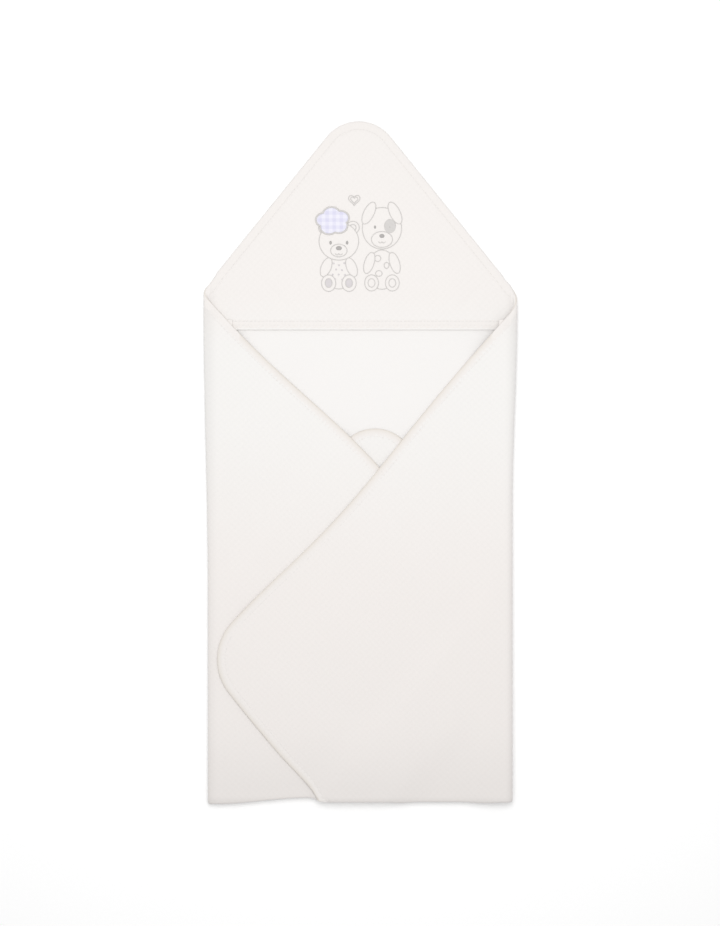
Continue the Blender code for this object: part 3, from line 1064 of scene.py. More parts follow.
class Nodes:
    """A material's nodes, made one after another."""

    BLEACHED = (0.008, 0.036, 0.045)    # painted light: how much whiter the cloth is painted above its middle

    def __init__(self, name: str) -> None:
        """Start an empty material with its surface shader."""
        self.material = bpy.data.materials.new(name)
        self.material.use_nodes = True
        self.tree = self.material.node_tree
        self.tree.nodes.clear()
        self.shader = self.tree.nodes.new("ShaderNodeBsdfPrincipled")
        output = self.tree.nodes.new("ShaderNodeOutputMaterial")
        self.tree.links.new(self.shader.outputs["BSDF"], output.inputs["Surface"])

    def add(self, kind: str, inputs: dict | None = None, **settings: Any) -> Any:
        """Add a node, with values or links for its inputs.

        Args:
            kind: the node's type, without its "ShaderNode".
            inputs: a value or another node's output for each named or numbered input.
            settings: the node's own settings.

        Returns:
            The node.
        """
        node = self.tree.nodes.new("ShaderNode" + kind)
        for key, value in settings.items():
            setattr(node, key, value)
        for key, value in (inputs or {}).items():
            if isinstance(value, bpy.types.NodeSocket):
                self.tree.links.new(value, node.inputs[key])
            else:
                node.inputs[key].default_value = value
        return node

    def math(self, operation: str, first: Any, second: Any = 0.0, third: Any = 0.0) -> Any:
        """Work out one sum, and return the output that holds it."""
        return self.add("Math", {0: first, 1: second, 2: third}, operation=operation).outputs[0]

    def places(self, on_cloth: bool) -> Any:
        """Return each point's place: on the flat cloth, or in the piece's own space."""
        coordinates = self.add("TexCoord")
        return coordinates.outputs["UV" if on_cloth else "Object"]

    def speckle(self, places: Any, scale: float, detail: float = 2.0,
                stretch: tuple[float, float, float] = (1.0, 1.0, 1.0)) -> Any:
        """Return a noise of the given scale."""
        mapped = self.add("Mapping", {"Vector": places, "Scale": stretch}).outputs[0]
        return self.add("TexNoise", {"Vector": mapped, "Scale": scale,
                                     "Detail": detail}).outputs["Fac"]

    def wave(self, place: Any, period: float, kind: str = "SINE") -> Any:
        """Return a wave between -1 and 1 along one coordinate."""
        return self.math(kind, self.math("MULTIPLY", place, 2 * math.pi / period))

    def ramp(self, value: Any, start: float, stop: float, low: float = 0.0,
             high: float = 1.0) -> Any:
        """Return an eased ramp from one level to another."""
        return self.add("MapRange", {"Value": value, 1: start, 2: stop, 3: low, 4: high},
                        interpolation_type="SMOOTHSTEP").outputs[0]

    def blend_colours(self, factor: Any, first: Colour, second: Colour) -> Any:
        """Blend two colours.

        Args:
            factor: 0 for the first and 1 for the second.
            first: a colour.
            second: a colour.

        Returns:
            The output that holds the blend.
        """
        ramp = self.add("ValToRGB", {"Fac": factor})
        ramp.color_ramp.elements[0].color = (*first, 1.0)
        ramp.color_ramp.elements[1].color = (*second, 1.0)
        return ramp.outputs["Color"]

    def greyed_at_folds(self, colour: Any) -> Any:
        """Paint shade into a colour along the outer folds and at the foot, and paint light into
        it higher up.

        Args:
            colour: the output that holds the colour.

        Returns:
            The output that holds the new one.
        """
        parts = self.add("SeparateXYZ", {0: self.places(on_cloth=False)})
        sideways = self.math("ABSOLUTE", parts.outputs[0])
        upwards = self.ramp(parts.outputs[1], -0.15, 0.08)
        below_hood = self.add("MapRange", {"Value": parts.outputs[1], 1: 0.120, 2: 0.175,
                                           3: 1.0, 4: 0.25}).outputs[0]
        # painted light: the cloth is painted whiter above its middle, less so over the hood
        painted_light = self.add("VectorMath", {0: self.BLEACHED,
                                           "Scale": self.math("MULTIPLY", upwards, below_hood)},
                            operation="SCALE").outputs[0]
        colour = self.add("VectorMath", {0: colour, 1: painted_light, 2: colour},
                          operation="MULTIPLY_ADD").outputs[0]
        # painted shade: the cloth is painted darker along the outer folds, towards the foot and
        # most at its bottom edge
        for place, (near, far, least) in ((sideways, (0.1480, 0.1590, 0.94)),
                                          (parts.outputs[1], (-0.2600, -0.3450, 0.955)),
                                          (parts.outputs[1], (-0.3440, -0.3535, 0.91))):
            tone = self.ramp(place, near, far, 1.0, least)
            colour = self.add("VectorMath", {0: colour, "Scale": tone},
                              operation="SCALE").outputs[0]
        return colour

    def surface(self, colour: Any, height: Any, depth: float, roughness: float,
                sheen: float) -> bpy.types.Material:
        """Finish the material.

        Args:
            colour: the output that holds its colour.
            height: the output that holds its fine relief.
            depth: how deep that relief is.
            roughness: how matt it is.
            sheen: how much soft fuzz it shows at grazing angles.

        Returns:
            The material.
        """
        bump = self.add("Bump", {"Height": height, "Strength": 0.6, "Distance": depth})
        self.tree.links.new(colour, self.shader.inputs["Base Color"])
        self.tree.links.new(bump.outputs["Normal"], self.shader.inputs["Normal"])
        self.shader.inputs["Roughness"].default_value = roughness
        self.shader.inputs["Sheen Weight"].default_value = sheen
        self.shader.inputs["Sheen Roughness"].default_value = 0.5
        self.shader.inputs["Specular IOR Level"].default_value = 0.2
        return self.material


def shade(colour: Colour, amount: float) -> Colour:
    """Return a colour made darker or lighter by a share."""
    return tuple(min(1.0, part * amount) for part in colour)


@dataclass(frozen=True)
class QuiltedTowelling:
    """The outer face: small embossed diamonds in a short loop pile."""

    colour: Colour = (0.772, 0.738, 0.716)
    # painted shade: how dark the dimples are painted, against the ridges
    dimple_shade: float = 0.988
    pile: float = 900.0             # loops to the metre

    def make(self) -> bpy.types.Material:
        """Return the material."""
        nodes = Nodes("quilted_towelling")
        places = nodes.places(on_cloth=True)
        parts = nodes.add("SeparateXYZ", {0: places})
        across = nodes.wave(parts.outputs[0], EMBOSS_PERIOD)
        along = nodes.wave(parts.outputs[1], EMBOSS_PERIOD, "COSINE")
        ridge = nodes.math("MULTIPLY_ADD", nodes.math("MULTIPLY", across, along), 0.5, 0.5)
        pile = nodes.speckle(places, self.pile)
        patches = nodes.speckle(places, 22.0, 3.0)
        # painted shade in the dimples, mixed with the pile's and the patches' own random tone
        tone = nodes.math("ADD", nodes.math("MULTIPLY", ridge, 0.45),
                          nodes.math("MULTIPLY_ADD", pile, 0.35,
                                     nodes.math("MULTIPLY", patches, 0.30)))
        colour = nodes.blend_colours(tone, shade(self.colour, self.dimple_shade),
                                     shade(self.colour, 1.02))
        height = nodes.math("ADD", nodes.math("MULTIPLY", ridge, 0.30), pile)
        # painted shade at the outer folds and the foot, and painted light above the middle
        return nodes.surface(nodes.greyed_at_folds(colour), height, 0.00022, 0.92, 0.25)


@dataclass(frozen=True)
class TerryLining:
    """The inner face: a fine even terry, a little brighter and cooler."""

    colour: Colour = (0.795, 0.778, 0.764)
    pile: float = 1100.0

    def make(self) -> bpy.types.Material:
        """Return the material."""
        nodes = Nodes("terry_lining")
        places = nodes.places(on_cloth=True)
        pile = nodes.speckle(places, self.pile, 2.5)
        patches = nodes.speckle(places, 14.0, 2.0)
        tone = nodes.math("MULTIPLY_ADD", pile, 0.6, nodes.math("MULTIPLY", patches, 0.4))
        colour = nodes.blend_colours(tone, shade(self.colour, 0.975), shade(self.colour, 1.02))
        return nodes.surface(colour, pile, 0.00025, 0.95, 0.3)


@dataclass(frozen=True)
class BindingCloth:
    """The binding: a smooth jersey tape with fine ribs across it, and painted shade on its
    turned-over rim.
    """

    name: str = "binding_cloth"
    colour: Colour = (0.784, 0.753, 0.731)
    rim: Colour = (0.91, 0.89, 0.85)     # painted shade: how much darker the turned-over rim is painted
    rim_width: float = 0.0026            # how far the painted shade reaches, from the middle of the edge to the flat face
    rim_fade: float = 0.0018
    rib: float = 0.0009

    def make(self) -> bpy.types.Material:
        """Return the material."""
        nodes = Nodes(self.name)
        places = nodes.places(on_cloth=True)
        parts = nodes.add("SeparateXYZ", {0: places})
        ribs = nodes.wave(parts.outputs[0], self.rib)
        fuzz = nodes.speckle(places, 1400.0)
        patches = nodes.speckle(places, 60.0, 3.0)
        tone = nodes.math("ADD", nodes.math("MULTIPLY_ADD", ribs, 0.10, 0.10),
                          nodes.math("MULTIPLY_ADD", fuzz, 0.4,
                                     nodes.math("MULTIPLY", patches, 0.4)))
        colour = nodes.blend_colours(tone, shade(self.colour, 0.97), shade(self.colour, 1.02))
        # painted shade: the tape is painted darker towards its turned-over rim
        inwards = nodes.ramp(parts.outputs[1], self.rim_width - self.rim_fade, self.rim_width)
        turned = nodes.blend_colours(inwards, self.rim, (1.0, 1.0, 1.0))
        colour = nodes.add("VectorMath", {0: colour, 1: turned}, operation="MULTIPLY").outputs[0]
        height = nodes.math("MULTIPLY_ADD", ribs, 0.35, fuzz)
        return nodes.surface(colour, height, 0.00012, 0.82, 0.2)


@dataclass(frozen=True)
class Thread:
    """Embroidery or sewing thread, with its twist and a soft gloss."""

    name: str
    colour: Colour
    gloss: float = 0.55

    def make(self) -> bpy.types.Material:
        """Return the material."""
        nodes = Nodes(self.name)
        places = nodes.places(on_cloth=False)
        twist = nodes.add("TexWave", {"Vector": places, "Scale": 420.0, "Distortion": 1.5,
                                      "Detail": 1.0}, bands_direction="DIAGONAL")
        patches = nodes.speckle(places, 160.0)
        tone = nodes.math("MULTIPLY_ADD", twist.outputs["Fac"], 0.55,
                          nodes.math("MULTIPLY", patches, 0.45))
        colour = nodes.blend_colours(tone, shade(self.colour, 0.90), shade(self.colour, 1.06))
        return nodes.surface(colour, twist.outputs["Fac"], 0.00012, self.gloss, 0.1)


@dataclass(frozen=True)
class Gingham:
    """A fine woven check of white and a pale lavender."""

    white: Colour = (0.765, 0.755, 0.83)
    lavender: Colour = (0.635, 0.625, 0.765)
    check: float = 0.0074           # one white and one coloured stripe

    def make(self) -> bpy.types.Material:
        """Return the material."""
        nodes = Nodes("gingham_cloth")
        places = nodes.places(on_cloth=True)
        parts = nodes.add("SeparateXYZ", {0: places})
        stripes = []
        for axis in (0, 1):
            wave = nodes.wave(parts.outputs[axis], self.check)
            stripes.append(nodes.add("MapRange", {"Value": wave, "From Min": -0.25,
                                                  "From Max": 0.25}).outputs[0])
        weave = nodes.speckle(places, 2200.0)
        count = nodes.math("MULTIPLY", nodes.math("ADD", *stripes), 0.46)
        tone = nodes.math("MULTIPLY_ADD", weave, 0.08, count)
        colour = nodes.blend_colours(tone, self.white, self.lavender)
        return nodes.surface(colour, weave, 0.00010, 0.8, 0.1)


class Slot(Enum):
    """The record's material slots."""

    TOWELLING = "quilted_towelling"
    BINDING = "binding_cloth"
    GINGHAM = "gingham_cloth"
    THREAD = "embroidery_thread"


# ------------------------------------------------------------------ the towel

@dataclass
class Workroom:
    """What every sub-assembly shares: the plan, the grid, the edges and the finishes."""

    plan: Plan = field(default_factory=Plan)
    hood_lift: float = 0.0016       # how far the hood stands off the back at most
    flap_lift: float = 0.0006       # the depth of the flaps' swell
    # the hood's pressed-in creases: from, to, depth
    hood_creases: tuple = (((-0.121, 0.210), (-0.069, 0.157), 0.00055),
                           ((0.129, 0.187), (0.098, 0.158), 0.0005))
    # the folds of cloth along the hood's seam: distance from the edge, depth
    seam_puckers: tuple = ((0.0175, 0.00042), (0.0265, 0.00026))

    def __post_init__(self) -> None:
        """Make the shared tools and finishes, and lay out the cloth."""
        plan = self.plan
        self.drape = Drape(plan)
        self.weave = Weave(plan, self.drape)
        self.edges = Edges(plan, self.weave)
        self.cloth = [QuiltedTowelling().make(), TerryLining().make()]
        # painted shade on each tape's turned-over rim: the plain tape's own, barely any on the
        # mouth's tape, darker and wider on the hood seam's tape
        self.tape = BindingCloth().make()
        self.mouth_tape = BindingCloth("mouth_binding_cloth", rim=(1.0, 0.985, 0.965)).make()
        self.seam_tape = BindingCloth("seam_binding_cloth", rim=(0.78, 0.76, 0.74),
                                      rim_width=0.0044).make()
        self.sewing = Thread("sewing_thread", (0.745, 0.72, 0.70), 0.7).make()
        self.lay_out()

    def lay_out(self) -> None:
        """Lay every layer of cloth on the one below it."""
        plan, drape = self.plan, self.drape
        x, y = drape.x, drape.y
        drape.lay("back", plan.back_outline())
        drape.lay("turned", plan.turned_outline(), lift=self.ripple(1, 0.07, 0.0002))
        drape.lay("hood", plan.hood_outline(), lift=self.hood_puff(x, y))
        for side, level in ((Side.LEFT, 2), (Side.RIGHT, 4)):
            word = side.word
            drape.lay(f"{word}_tuck", plan.tuck_outline(side), side, level, 0.035)
            drape.lay(f"{word}_corner", plan.corner_outline(side), side, level, 0.060)
            drape.lay(f"{word}_flap", plan.flap_outline(side), side, level + 1,
                      0.038 if side is Side.LEFT else 0.052,
                      self.ripple(level, 0.11, self.flap_lift), 3.0)

    def ripple(self, seed: int, length: float, depth: float) -> Array:
        """Make a gentle swell over the cloth, never below its rest.

        Args:
            seed: which swell.
            length: the size of its hills.
            depth: their height.

        Returns:
            Its height at every point of the grid.
        """
        swell = waves(self.drape.x, self.drape.y, length, seed)
        return depth * np.clip(0.5 + 0.5 * swell, 0.0, 1.0) * self.clear_of_folds(0.05)

    def clear_of_folds(self, ease: float) -> Array:
        """Return 1 in the middle of the towel, and 0 at its folds and its lower end."""
        x, y, folds = self.drape.x, self.drape.y, self.plan.folds
        left = x - folds[Side.LEFT].crease_x(y)
        right = folds[Side.RIGHT].crease_x(y) - x
        return (smooth(left / ease) * smooth(right / ease)
                * smooth((y - self.plan.crease_y) / 0.03))

    def hood_puff(self, x: Array, y: Array) -> Array:
        """Find how far the hood stands off the back, with its pressed-in creases.

        Args:
            x: places across.
            y: places along.

        Returns:
            The lift at each place.
        """
        edge = distance_to(self.plan.hood_edge[::5], x, y)
        puff = self.hood_lift * smooth((edge - 0.008) / 0.035) * self.clear_of_folds(0.07)
        puff *= 0.8 + 0.2 * waves(x, y, 0.09, 11)
        puff *= 0.12 + 0.88 * smooth((y - self.plan.mouth - 0.004) / 0.05)
        for start, end, depth in self.hood_creases:
            away = distance_to(np.array([start, end]), x, y)
            puff -= depth * np.exp(-(away / 0.0035) ** 2) * smooth(puff / 0.0006)
        gathers = 0.00022 * (1 + np.sin(2 * math.pi * (x + 0.6 * y) / 0.011))
        puff += gathers * np.exp(-((edge - 0.016) / 0.006) ** 2) * self.clear_of_folds(0.04)
        for away, depth in self.seam_puckers:
            crest = depth * np.exp(-((edge - away) / 0.0028) ** 2)
            puff -= crest * smooth(puff / 0.0008) * smooth((y - 0.205) / 0.05)
        return np.maximum(puff, 0.0)

    def declare(self, piece: bpy.types.Object, held: str, rests_on: list[str],
                with_pieces: list[bpy.types.Object] | None = None) -> None:
        """Declare a piece of cloth with the size of its flat cut.

        The area is half the piece's surface, rims and all, and isn't that of the flat cut.

        Args:
            piece: the cloth.
            held: how it is held; not used.
            rests_on: the names of the pieces below it; not used.
            with_pieces: the bindings and stitches that move with it; not used.
        """
        mesh = piece.data
        flat = np.zeros(len(mesh.loops) * 2)
        mesh.uv_layers[0].data.foreach_get("uv", flat)
        width, length = np.maximum(np.ptp(flat.reshape(-1, 2), axis=0), LEAST_SIDE)
        area = sum(polygon.area for polygon in mesh.polygons) / 2
        area = min(max(area, LEAST_SHARE * width * length), width * length)
        LOG.info("%s: flat %.3f x %.3f m, %.4f m2", piece.name, width, length, area)

    def dress(self, piece: bpy.types.Object, slot: Slot, materials: list, body: str = "",
              replaces: tuple[str, ...] = ()) -> bpy.types.Object:
        """Give a piece its finish and its body, and hide the CAD nodes it stands for.

        Args:
            piece: the piece.
            slot: the record's material slot; not used.
            materials: its materials, in the order of its faces' slots.
            body: the body that it rides on, if it is a single one.
            replaces: the CAD nodes that it stands for.

        Returns:
            The same piece.
        """
        for material in materials:
            piece.data.materials.append(material)
        if body:
            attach(piece, body)
        if replaces:
            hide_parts(*replaces)
        LOG.info("%s: %d faces", piece.name, len(piece.data.polygons))
        return piece

    def cut(self, cloth: bpy.types.Object, body: str = "",
            replaces: tuple[str, ...] = ()) -> bpy.types.Object:
        """Dress a piece of towelling."""
        return self.dress(cloth, Slot.TOWELLING, self.cloth, body, replaces)

    def bind(self, run: Run, name: str, body: str = "", replaces: tuple[str, ...] = (),
             tape: bpy.types.Material | None = None) -> bpy.types.Object:
        """Bind an edge with the plain tape or one of its own."""
        return self.dress(run.binding(name), Slot.BINDING, [tape or self.tape], body, replaces)

    def bend_at_fold(self, piece: bpy.types.Object, side: Side, inner_roll: bool) -> None:
        """Bake a piece's place into its mesh; the piece is not made to bend at the side fold."""
        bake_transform(piece)

    def bend_in_hood(self, piece: bpy.types.Object, side: Side) -> None:
        """Bake a piece's place into its mesh; the piece is not made to bend with the hood."""
        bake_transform(piece)

    def sew(self, name: str, runs: list[Run], body: str = "", both_faces: bool = True,
            seams: tuple[float | None, ...] = (None,)) -> bpy.types.Object:
        """Sew lines of stitches along some runs, as one piece.

        Args:
            name: the piece's name.
            runs: the edges that they follow.
            body: the body that it rides on, if it is a single one.
            both_faces: whether they show on the inner face as well.
            seams: each line's distance from the edge, or None for the run's own.

        Returns:
            The piece.
        """
        dashes = [dash for run in runs for seam in seams
                  for dash in run.stitches(both_faces, seam)]
        return self.dress(joined(name, dashes), Slot.THREAD, [self.sewing], body)


@dataclass
class Back:
    """The panel that lies on the table, with its folded-up corner."""

    room: Workroom

    def build(self) -> None:
        """Make the back's pieces."""
        room, plan, weave = self.room, self.room.plan, self.room.weave
        ends = (room.edges.upright, room.edges.upright)
        seam = room.edges.flat("back", plan.hood_edge, -1, False, ends, inner=-0.0031)
        seam_tape = room.bind(seam, "hood_seam_tape", "back", ("hood_seam_binding",),
                              room.seam_tape)
        seam_stitches = room.sew("hood_seam_stitches", [seam], "back")
        outline = plan.back_outline()
        for side, part in weave.half.items():
            cloth = room.cut(weave.panel(f"back_cloth_{side.word}", "back", outline,
                                         plan.hood_edge, False, columns=part),
                             "back", ("back_panel",))
            own = [seam_tape, seam_stitches] if side is Side.LEFT else []
            room.declare(cloth, "laid", [], own)

        flat = (weave.u, weave.turned_up(weave.v))
        turned = room.cut(weave.panel("bottom_flap_cloth", "turned", plan.turned_outline(),
                                      plan.turned_edge, True, flat),
                          "back", ("bottom_flap_panel",))
        run = room.edges.flat("turned", plan.turned_edge, -1, True, ends)
        tape = room.bind(run, "bottom_flap_tape", "back", ("bottom_flap_binding",))
        stitches = room.sew("bottom_flap_stitches", [run], "back")
        room.declare(turned, "folded", ["back_cloth_left", "back_cloth_right"],
                     [tape, stitches])
        crease = room.cut(weave.hem_roll("bottom_crease_cloth", "back", "turned",
                                         (weave.across[0], weave.across[-1])),
                          "back", ("bottom_crease",))
        room.declare(crease, "folded", ["back_cloth_left"])


@dataclass
class SideFold:
    """A side fold's creases: the back's cloth, and the layers folded in with it."""

    room: Workroom
    side: Side
    under_tape: float = 0.009       # cloth that ends beneath the binding, along the fold
    over_mouth: float = 0.005       # where the hood's own cloth starts, above its mouth

    def build(self) -> None:
        """Make the fold's creases and the bindings round them."""
        room, side, plan = self.room, self.side, self.room.plan
        weave, word, slant = room.weave, side.word, room.edges.crease_slant
        ends = {Side.LEFT: 0, Side.RIGHT: -1}[side]
        top = plan.hood_edge[ends][1], plan.flap_edge[side][0][1]
        tuck = plan.turned_edge[ends][1], plan.tuck_edge[side][0][1]
        doubled = -min(0.00315, plan.folds[side].radius - 0.0003)
        for name, inner_roll, high, sizes in (
                (f"{word}_side_crease", False, top, {"inner": doubled}),
                (f"{word}_tuck_crease", True, tuck, {})):
            cloth = room.cut(weave.roll(
                f"{name}_cloth", side, inner_roll, (plan.crease_y, plan.crease_y),
                tuple(np.array(high) - self.under_tape), capped=not inner_roll,
                turned_up=inner_roll), replaces=(name,))
            room.bend_at_fold(cloth, side, inner_roll)
            run = room.edges.round_fold(side, inner_roll, *high, -slant, **sizes)
            tape = room.bind(run, f"{name}_tape")
            room.bend_at_fold(tape, side, inner_roll)
            room.declare(cloth, "folded", [f"back_cloth_{word}"], [tape])
        start = plan.mouth + self.over_mouth
        cloth = room.cut(weave.roll(f"{word}_hood_crease_cloth", side, True, (start, start),
                                    tuple(np.array(top) - self.under_tape)))
        room.bend_at_fold(cloth, side, True)
        run = room.edges.round_fold(side, True, plan.mouth, plan.mouth, 1.0)
        band = room.bind(run, f"{word}_hood_crease_band")
        room.bend_at_fold(band, side, True)
        room.declare(cloth, "folded", [f"back_cloth_{word}"], [band])


@dataclass
class Flap:
    """A side flap, with the part of the bottom corner and of the hood folded in with it."""

    room: Workroom
    side: Side
    under_tape: float = 0.0075      # where the bottom crease's cloth starts, from the edge

    def build(self) -> None:
        """Make the flap's pieces."""
        room, side, plan = self.room, self.side, self.room.plan
        weave, word, turn, body = room.weave, side.word, side.sign, side.body
        fold = plan.folds[side]
        below = ["bottom_flap_cloth"] if side is Side.LEFT else ["left_flap_cloth"]
        ends = room.edges.upright, (room.edges.hem_slant * side.sign, 0.0)
        flat = (weave.folded_over(weave.u, side, fold.radius), weave.v)
        cloth = room.cut(weave.panel(f"{word}_flap_cloth", f"{word}_flap",
                                     plan.flap_outline(side), plan.flap_edge[side], True, flat),
                         body, (f"{word}_flap_panel",))
        run = room.edges.flat(f"{word}_flap", plan.flap_edge[side], turn, True, ends)
        corner_length = float(np.linalg.norm(
            plan.flap_edge[side][0] - (plan.band_end(side), plan.mouth)))
        run.inner = -0.00315 + 0.0020 * smooth((run.lengths - corner_length - 0.002) / 0.008)
        foot = float(plan.flap_edge[side][-1][0])
        hem = room.edges.round_hem(side, f"{word}_tuck", f"{word}_flap", foot)
        tapes = [room.bind(run, f"{word}_flap_tape", body, (f"{word}_flap_binding",)),
                 room.bind(hem, f"{word}_hem_tape", body),
                 room.sew(f"{word}_flap_stitches", [run], body)]
        room.declare(cloth, "folded", below, tapes)

        flat = (weave.folded_over(weave.u, side, fold.inner_radius), weave.turned_up(weave.v))
        tuck = room.cut(weave.panel(f"{word}_tuck_cloth", f"{word}_tuck",
                                    plan.tuck_outline(side), plan.tuck_edge[side], False, flat),
                        body, (f"{word}_tuck_panel",))
        run = room.edges.flat(f"{word}_tuck", plan.tuck_edge[side], turn, False, ends)
        tapes = [room.bind(run, f"{word}_tuck_tape", body, (f"{word}_tuck_binding",)),
                 room.sew(f"{word}_tuck_stitches", [run], body)]
        room.declare(tuck, "folded", below, tapes)

        span = sorted((foot + side.sign * self.under_tape, side.sign * weave.nominal[side]))
        hem = room.cut(weave.hem_roll(f"{word}_flap_hem_cloth", f"{word}_tuck", f"{word}_flap",
                                      tuple(span), side),
                       body, (f"{word}_flap_bottom_crease",))
        room.declare(hem, "folded", below)
        self.build_corner(below)

    def build_corner(self, below: list[str]) -> None:
        """Make the hood's corner that is folded in under the flap.

        Args:
            below: the names of the pieces that the flap lies on; not used.
        """
        room, side, plan = self.room, self.side, self.room.plan
        weave, word, body = room.weave, side.word, side.body
        flat = (weave.folded_over(weave.u, side, plan.folds[side].inner_radius), weave.v)
        edge = plan.flap_edge[side]
        corner = room.cut(weave.panel(
            f"{word}_hood_corner_cloth", f"{word}_corner", plan.corner_outline(side),
            edge[edge[:, 1] > plan.mouth - 0.01], False, flat, first_row=weave.mouth_row),
            body, (f"{word}_hood_corner",))
        path = np.array([[plan.band_end(side) + side.sign * 0.004, plan.mouth],
                         plan.on_crease(side, plan.mouth)])
        run = room.edges.flat(f"{word}_corner", path, side.sign, False)
        band = room.bind(run, f"{word}_hood_corner_band", body)
        room.declare(corner, "folded", [f"hood_cloth_{word}"], [band])


@dataclass
class Hood:
    """The hood, in two halves, one each side of its middle."""

    room: Workroom
    band_width: float = 0.0104
    band_height: float = 0.00100    # its upper face, from mid-cloth
    band_rounding: float = 2.4
    seams: tuple[float, float] = (0.0088, 0.0048)    # its two stitch lines, from the mouth

    def build(self) -> None:
        """Make the hood's halves and the band along its mouth."""
        room, plan, weave = self.room, self.room.plan, self.room.weave
        for side, part in weave.half.items():
            word = side.word
            cloth = room.cut(weave.panel(f"hood_cloth_{word}", "hood", plan.hood_outline(),
                                         plan.hood_edge, True, columns=part,
                                         first_row=weave.mouth_row), replaces=("hood_panel",))
            room.bend_in_hood(cloth, side)
            outer = plan.on_crease(side, plan.mouth)
            path = np.array([outer, [0.0, plan.mouth]])
            if side is Side.RIGHT:
                path = path[::-1]
            run = room.edges.flat("hood", path, 1, True, outer=self.band_height,
                                  width=self.band_width, seam=self.seams[0],
                                  rounding=self.band_rounding)
            band = room.bind(run, f"hood_mouth_band_{word}", replaces=("hood_mouth_band",),
                             tape=room.mouth_tape)
            sewn = room.sew(f"hood_mouth_stitches_{word}", [run], seams=self.seams)
            for piece in (band, sewn):
                room.bend_in_hood(piece, side)
            room.declare(cloth, "laid", [f"back_cloth_{word}"], [band, sewn])


# ------------------------------------------------------------------ hood decoration

@dataclass(frozen=True)
class Oval:
    """One line of a drawing: an oval, with its place from the figure's head in mm."""

    x: float
    y: float
    across: float
    along: float
    tilt: float = 0.0
    start: float = 0.0
    end: float = 360.0
    line: bool = True               # drawn as a line
    fill: str = ""                  # thread that fills it
    hides: bool = True              # hides the lines of shapes behind it

    def points(self, centre: Array, count: int = 96) -> Array:
        """Return points round the oval."""
        a = np.radians(np.linspace(self.start, self.end, count + 1))
        turn = math.radians(self.tilt)
        x, y = self.across * np.cos(a), self.along * np.sin(a)
        return centre + 0.001 * np.stack([self.x + x * math.cos(turn) - y * math.sin(turn),
                                          self.y + x * math.sin(turn) + y * math.cos(turn)], 1)

    def covers(self, centre: Array, points: Array) -> Array:
        """Return which points lie inside the oval."""
        turn = math.radians(self.tilt)
        x, y = ((points - centre) * 1000 - (self.x, self.y)).T
        u = x * math.cos(turn) + y * math.sin(turn)
        v = y * math.cos(turn) - x * math.sin(turn)
        return (u / self.across) ** 2 + (v / self.along) ** 2 < 0.98


def mirrored(*ovals: Oval) -> list[Oval]:
    """Return ovals with their copies on the figure's other side."""
    return [shape for oval in ovals for shape in (
        oval, Oval(-oval.x, oval.y, oval.across, oval.along, -oval.tilt, 180 - oval.end,
                   180 - oval.start, oval.line, oval.fill, oval.hides))]


BEAR = [
    *mirrored(Oval(8.6, -1.5, 1.3, 2.0, fill="dark", line=False, hides=False),
              Oval(1.9, -12.2, 1.9, 1.9, start=190, end=350, hides=False)),
    Oval(0, -7.2, 3.1, 2.2, fill="dark", line=False, hides=False),
    Oval(0, -9.6, 8.6, 6.6),
    Oval(0, 0, 20.6, 19.6),
    *mirrored(Oval(14.6, 14.2, 3.3, 3.3, hides=False), Oval(14.6, 14.2, 6.6, 6.6),
              Oval(10.6, -43.4, 3.6, 4.6, fill="soft", hides=False),
              Oval(10.6, -43.6, 7.4, 8.6), Oval(13.2, -27.0, 5.2, 10.4, tilt=22)),
    *[Oval(x, y, 1.0, 1.0, fill="soft", line=False, hides=False)
      for x, y in ((-5.4, -23.0), (0.2, -25.0), (5.6, -22.8), (-2.8, -29.4), (3.2, -30.0),
                   (-0.2, -34.6), (-3.8, -39.4), (3.6, -39.8), (6.4, -35.0), (-6.4, -34.6))],
    Oval(0, -32.0, 14.6, 17.6),
]
PUPPY = [
    Oval(-7.2, 1.2, 1.1, 1.7, fill="dark", line=False, hides=False),
    Oval(8.2, 1.4, 1.1, 1.7, fill="dark", line=False, hides=False),
    *mirrored(Oval(1.8, -13.4, 1.8, 1.8, start=190, end=350, hides=False)),
    Oval(0, -8.0, 2.7, 2.1, fill="dark", line=False, hides=False),
    Oval(0, -11.6, 11.0, 8.2),
    *mirrored(Oval(13.6, 15.8, 5.4, 12.4, tilt=26)),
    Oval(8.4, 2.2, 6.2, 7.4, fill="grey", line=False, hides=False),
    Oval(0, 0, 20.4, 21.6),
    *mirrored(Oval(10.8, -56.8, 3.6, 4.4, hides=False), Oval(10.8, -56.8, 7.2, 8.4),
              Oval(13.2, -36.0, 5.0, 11.4, tilt=18)),
    Oval(-4.4, -31.4, 3.2, 3.2, hides=False),
    Oval(4.8, -38.6, 2.5, 3.2, hides=False),
    Oval(-3.2, -47.0, 3.4, 3.0, hides=False),
    Oval(0, -43.0, 14.8, 20.4),
]


